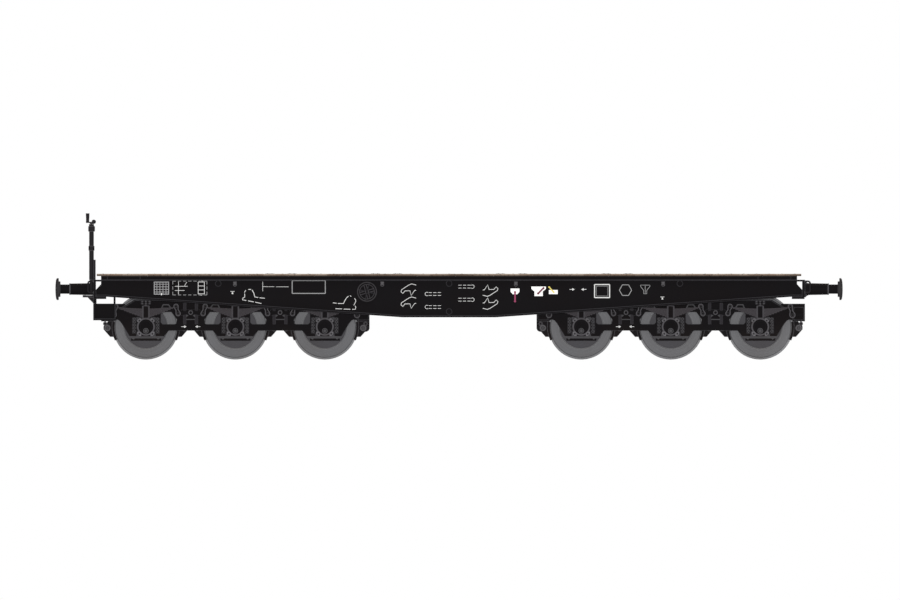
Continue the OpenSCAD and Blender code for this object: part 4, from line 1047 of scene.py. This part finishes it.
# Brake gear
# Cast-iron blocks in holders on hangers, and round beams across the bogie whose ends carry a washer and
# a nut, all brown-black with brake dust.
brake_iron = black_paint("brake_iron", (20, 18, 20), (86, 84, 87), (60, 50, 44), edge_width=0.010)
dress(brake_iron, "bogie_a_brake_gear", "bogie_b_brake_gear")
beam_grey = black_paint("beam_grey", (78, 77, 79), (104, 102, 104), (66, 56, 48), grime=0.4)
cap_profile = [(-0.016, 0.0), (-0.016, 0.020), (-0.004, 0.023), (-0.004, 0.033), (-0.012, 0.036),
               (-0.012, 0.046), (-0.006, 0.050), (0.0, 0.050), (0.0, 0.0)]
beam_caps = beside_axles((-0.644, 0.644), -0.824, (0.530,))
hanger_nuts = beside_axles((-0.684, 0.684), -0.814, (0.601,))


def cap_finish(spot):
    reach = math.hypot(spot.y, spot.z)
    return 2 if reach < 0.019 else 1 if reach < 0.034 else 0


beam_cap = smooth(turned("beam_cap", cap_profile, 32))
finished(beam_cap, (beam_grey, brake_iron, rubbed_iron), cap_finish)
for b in "ab":
    piece(f"bogie_{b}_beam_caps", f"bogie_{b}", None, *again(beam_cap, on_bogie(b, beam_caps)))
    nuts = copies(hexagon_head(0.040, 0.018, brake_iron, brake_iron), on_bogie(b, hanger_nuts))
    piece(f"bogie_{b}_hanger_nuts", f"bogie_{b}", None, *nuts)
bpy.data.objects.remove(beam_cap)

# Wheelsets
# Rolled steel wheels with a broad lighter rim, a darker, dusty web and a tread rubbed bright by the rails,
# pressed on a forged axle. Tread, flange and the rim's inner step are painted brighter still, a painted
# highlight that lifts their shade.
# Painted highlight: the tread and flange are bare from the rails, and this steel is brighter still on them
# and on the rim's inner step, against their shade.
tread_steel_and_painted_highlight = black_paint("tread_steel_and_painted_highlight", (128, 128, 130), (128, 128, 130), (110, 102, 94), grime=0.2)
rim_steel = black_paint("rim_steel", (98, 98, 100), (104, 104, 106), (86, 78, 72), grime=0.2)
web_steel = black_paint("web_steel", (70, 69, 72), (76, 75, 78), (60, 54, 50), grime=0.2)
axle_steel = black_paint("axle_steel", (70, 68, 70), (96, 94, 96), (70, 60, 52), grime=0.4)
dress(axle_steel, *[f"axle_{b}{n}" for b in "ab" for n in (1, 2, 3)])
TREAD = 0.515
FLANGE = 0.550
WHEEL_MID = 0.7475
RIM_R = 0.376
TYRE_R = 0.443
BORE = 0.09205
wheel_profile = [(-0.080, BORE), (-0.080, 0.148), (-0.077, 0.155), (-0.074, 0.158), (-0.048, 0.168),
                 (-0.024, 0.196), (-0.007, 0.300), (-0.006, RIM_R - 0.034), (-0.012, RIM_R - 0.014),
                 (-0.024, RIM_R - 0.004), (-0.0515, RIM_R), (-0.0595, RIM_R + 0.008),
                 (-0.0595, TYRE_R - 0.003), (-0.0625, TYRE_R - 0.003), (-0.0625, TYRE_R + 0.003),
                 (-0.0675, TYRE_R + 0.003), (-0.0675, TREAD - 0.010), (-0.0615, TREAD - 0.004),
                 (0.0175, TREAD), (0.0285, TREAD + 0.003), (0.0365, TREAD + 0.014), (0.0400, TREAD + 0.022),
                 (0.0445, FLANGE - 0.004), (0.0475, FLANGE - 0.001), (0.0515, FLANGE),
                 (0.0555, FLANGE - 0.001), (0.0585, FLANGE - 0.004), (0.0645, TREAD + 0.024),
                 (0.0675, TREAD + 0.008), (0.0675, TYRE_R), (0.0555, TYRE_R), (0.0555, RIM_R + 0.006),
                 (0.0455, RIM_R - 0.004), (0.024, RIM_R - 0.040), (0.010, 0.300), (0.006, 0.190),
                 (0.032, 0.166), (0.070, 0.158), (0.080, 0.150), (0.080, BORE), (-0.080, BORE)]


def steel_finish(spot):
    """Rim 0, web 1, tread and the rim's inner edge 2."""
    reach = math.hypot(spot.y, spot.z)
    if reach < RIM_R - 0.024:
        return 1
    return 2 if reach > TREAD - 0.002 or reach < RIM_R + 0.007 else 0


wheel = smooth(turned("wheel", wheel_profile, 96), 28)
finished(wheel, (rim_steel, web_steel, tread_steel_and_painted_highlight), steel_finish)
for b in "ab":
    for n, axle in enumerate(AXLES):
        centre = at(PIVOTS[b] + axle, 0, AXLE_Z)
        places = [centre @ side @ facing_near(0, -WHEEL_MID, 0) for side in both_sides()]
        pair = piece(f"wheel_pair_{b}{n + 1}", f"wheelset_{b}{n + 1}", None, *again(wheel, places))
        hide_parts(f"wheels_{b}{n + 1}")
bpy.data.objects.remove(wheel)
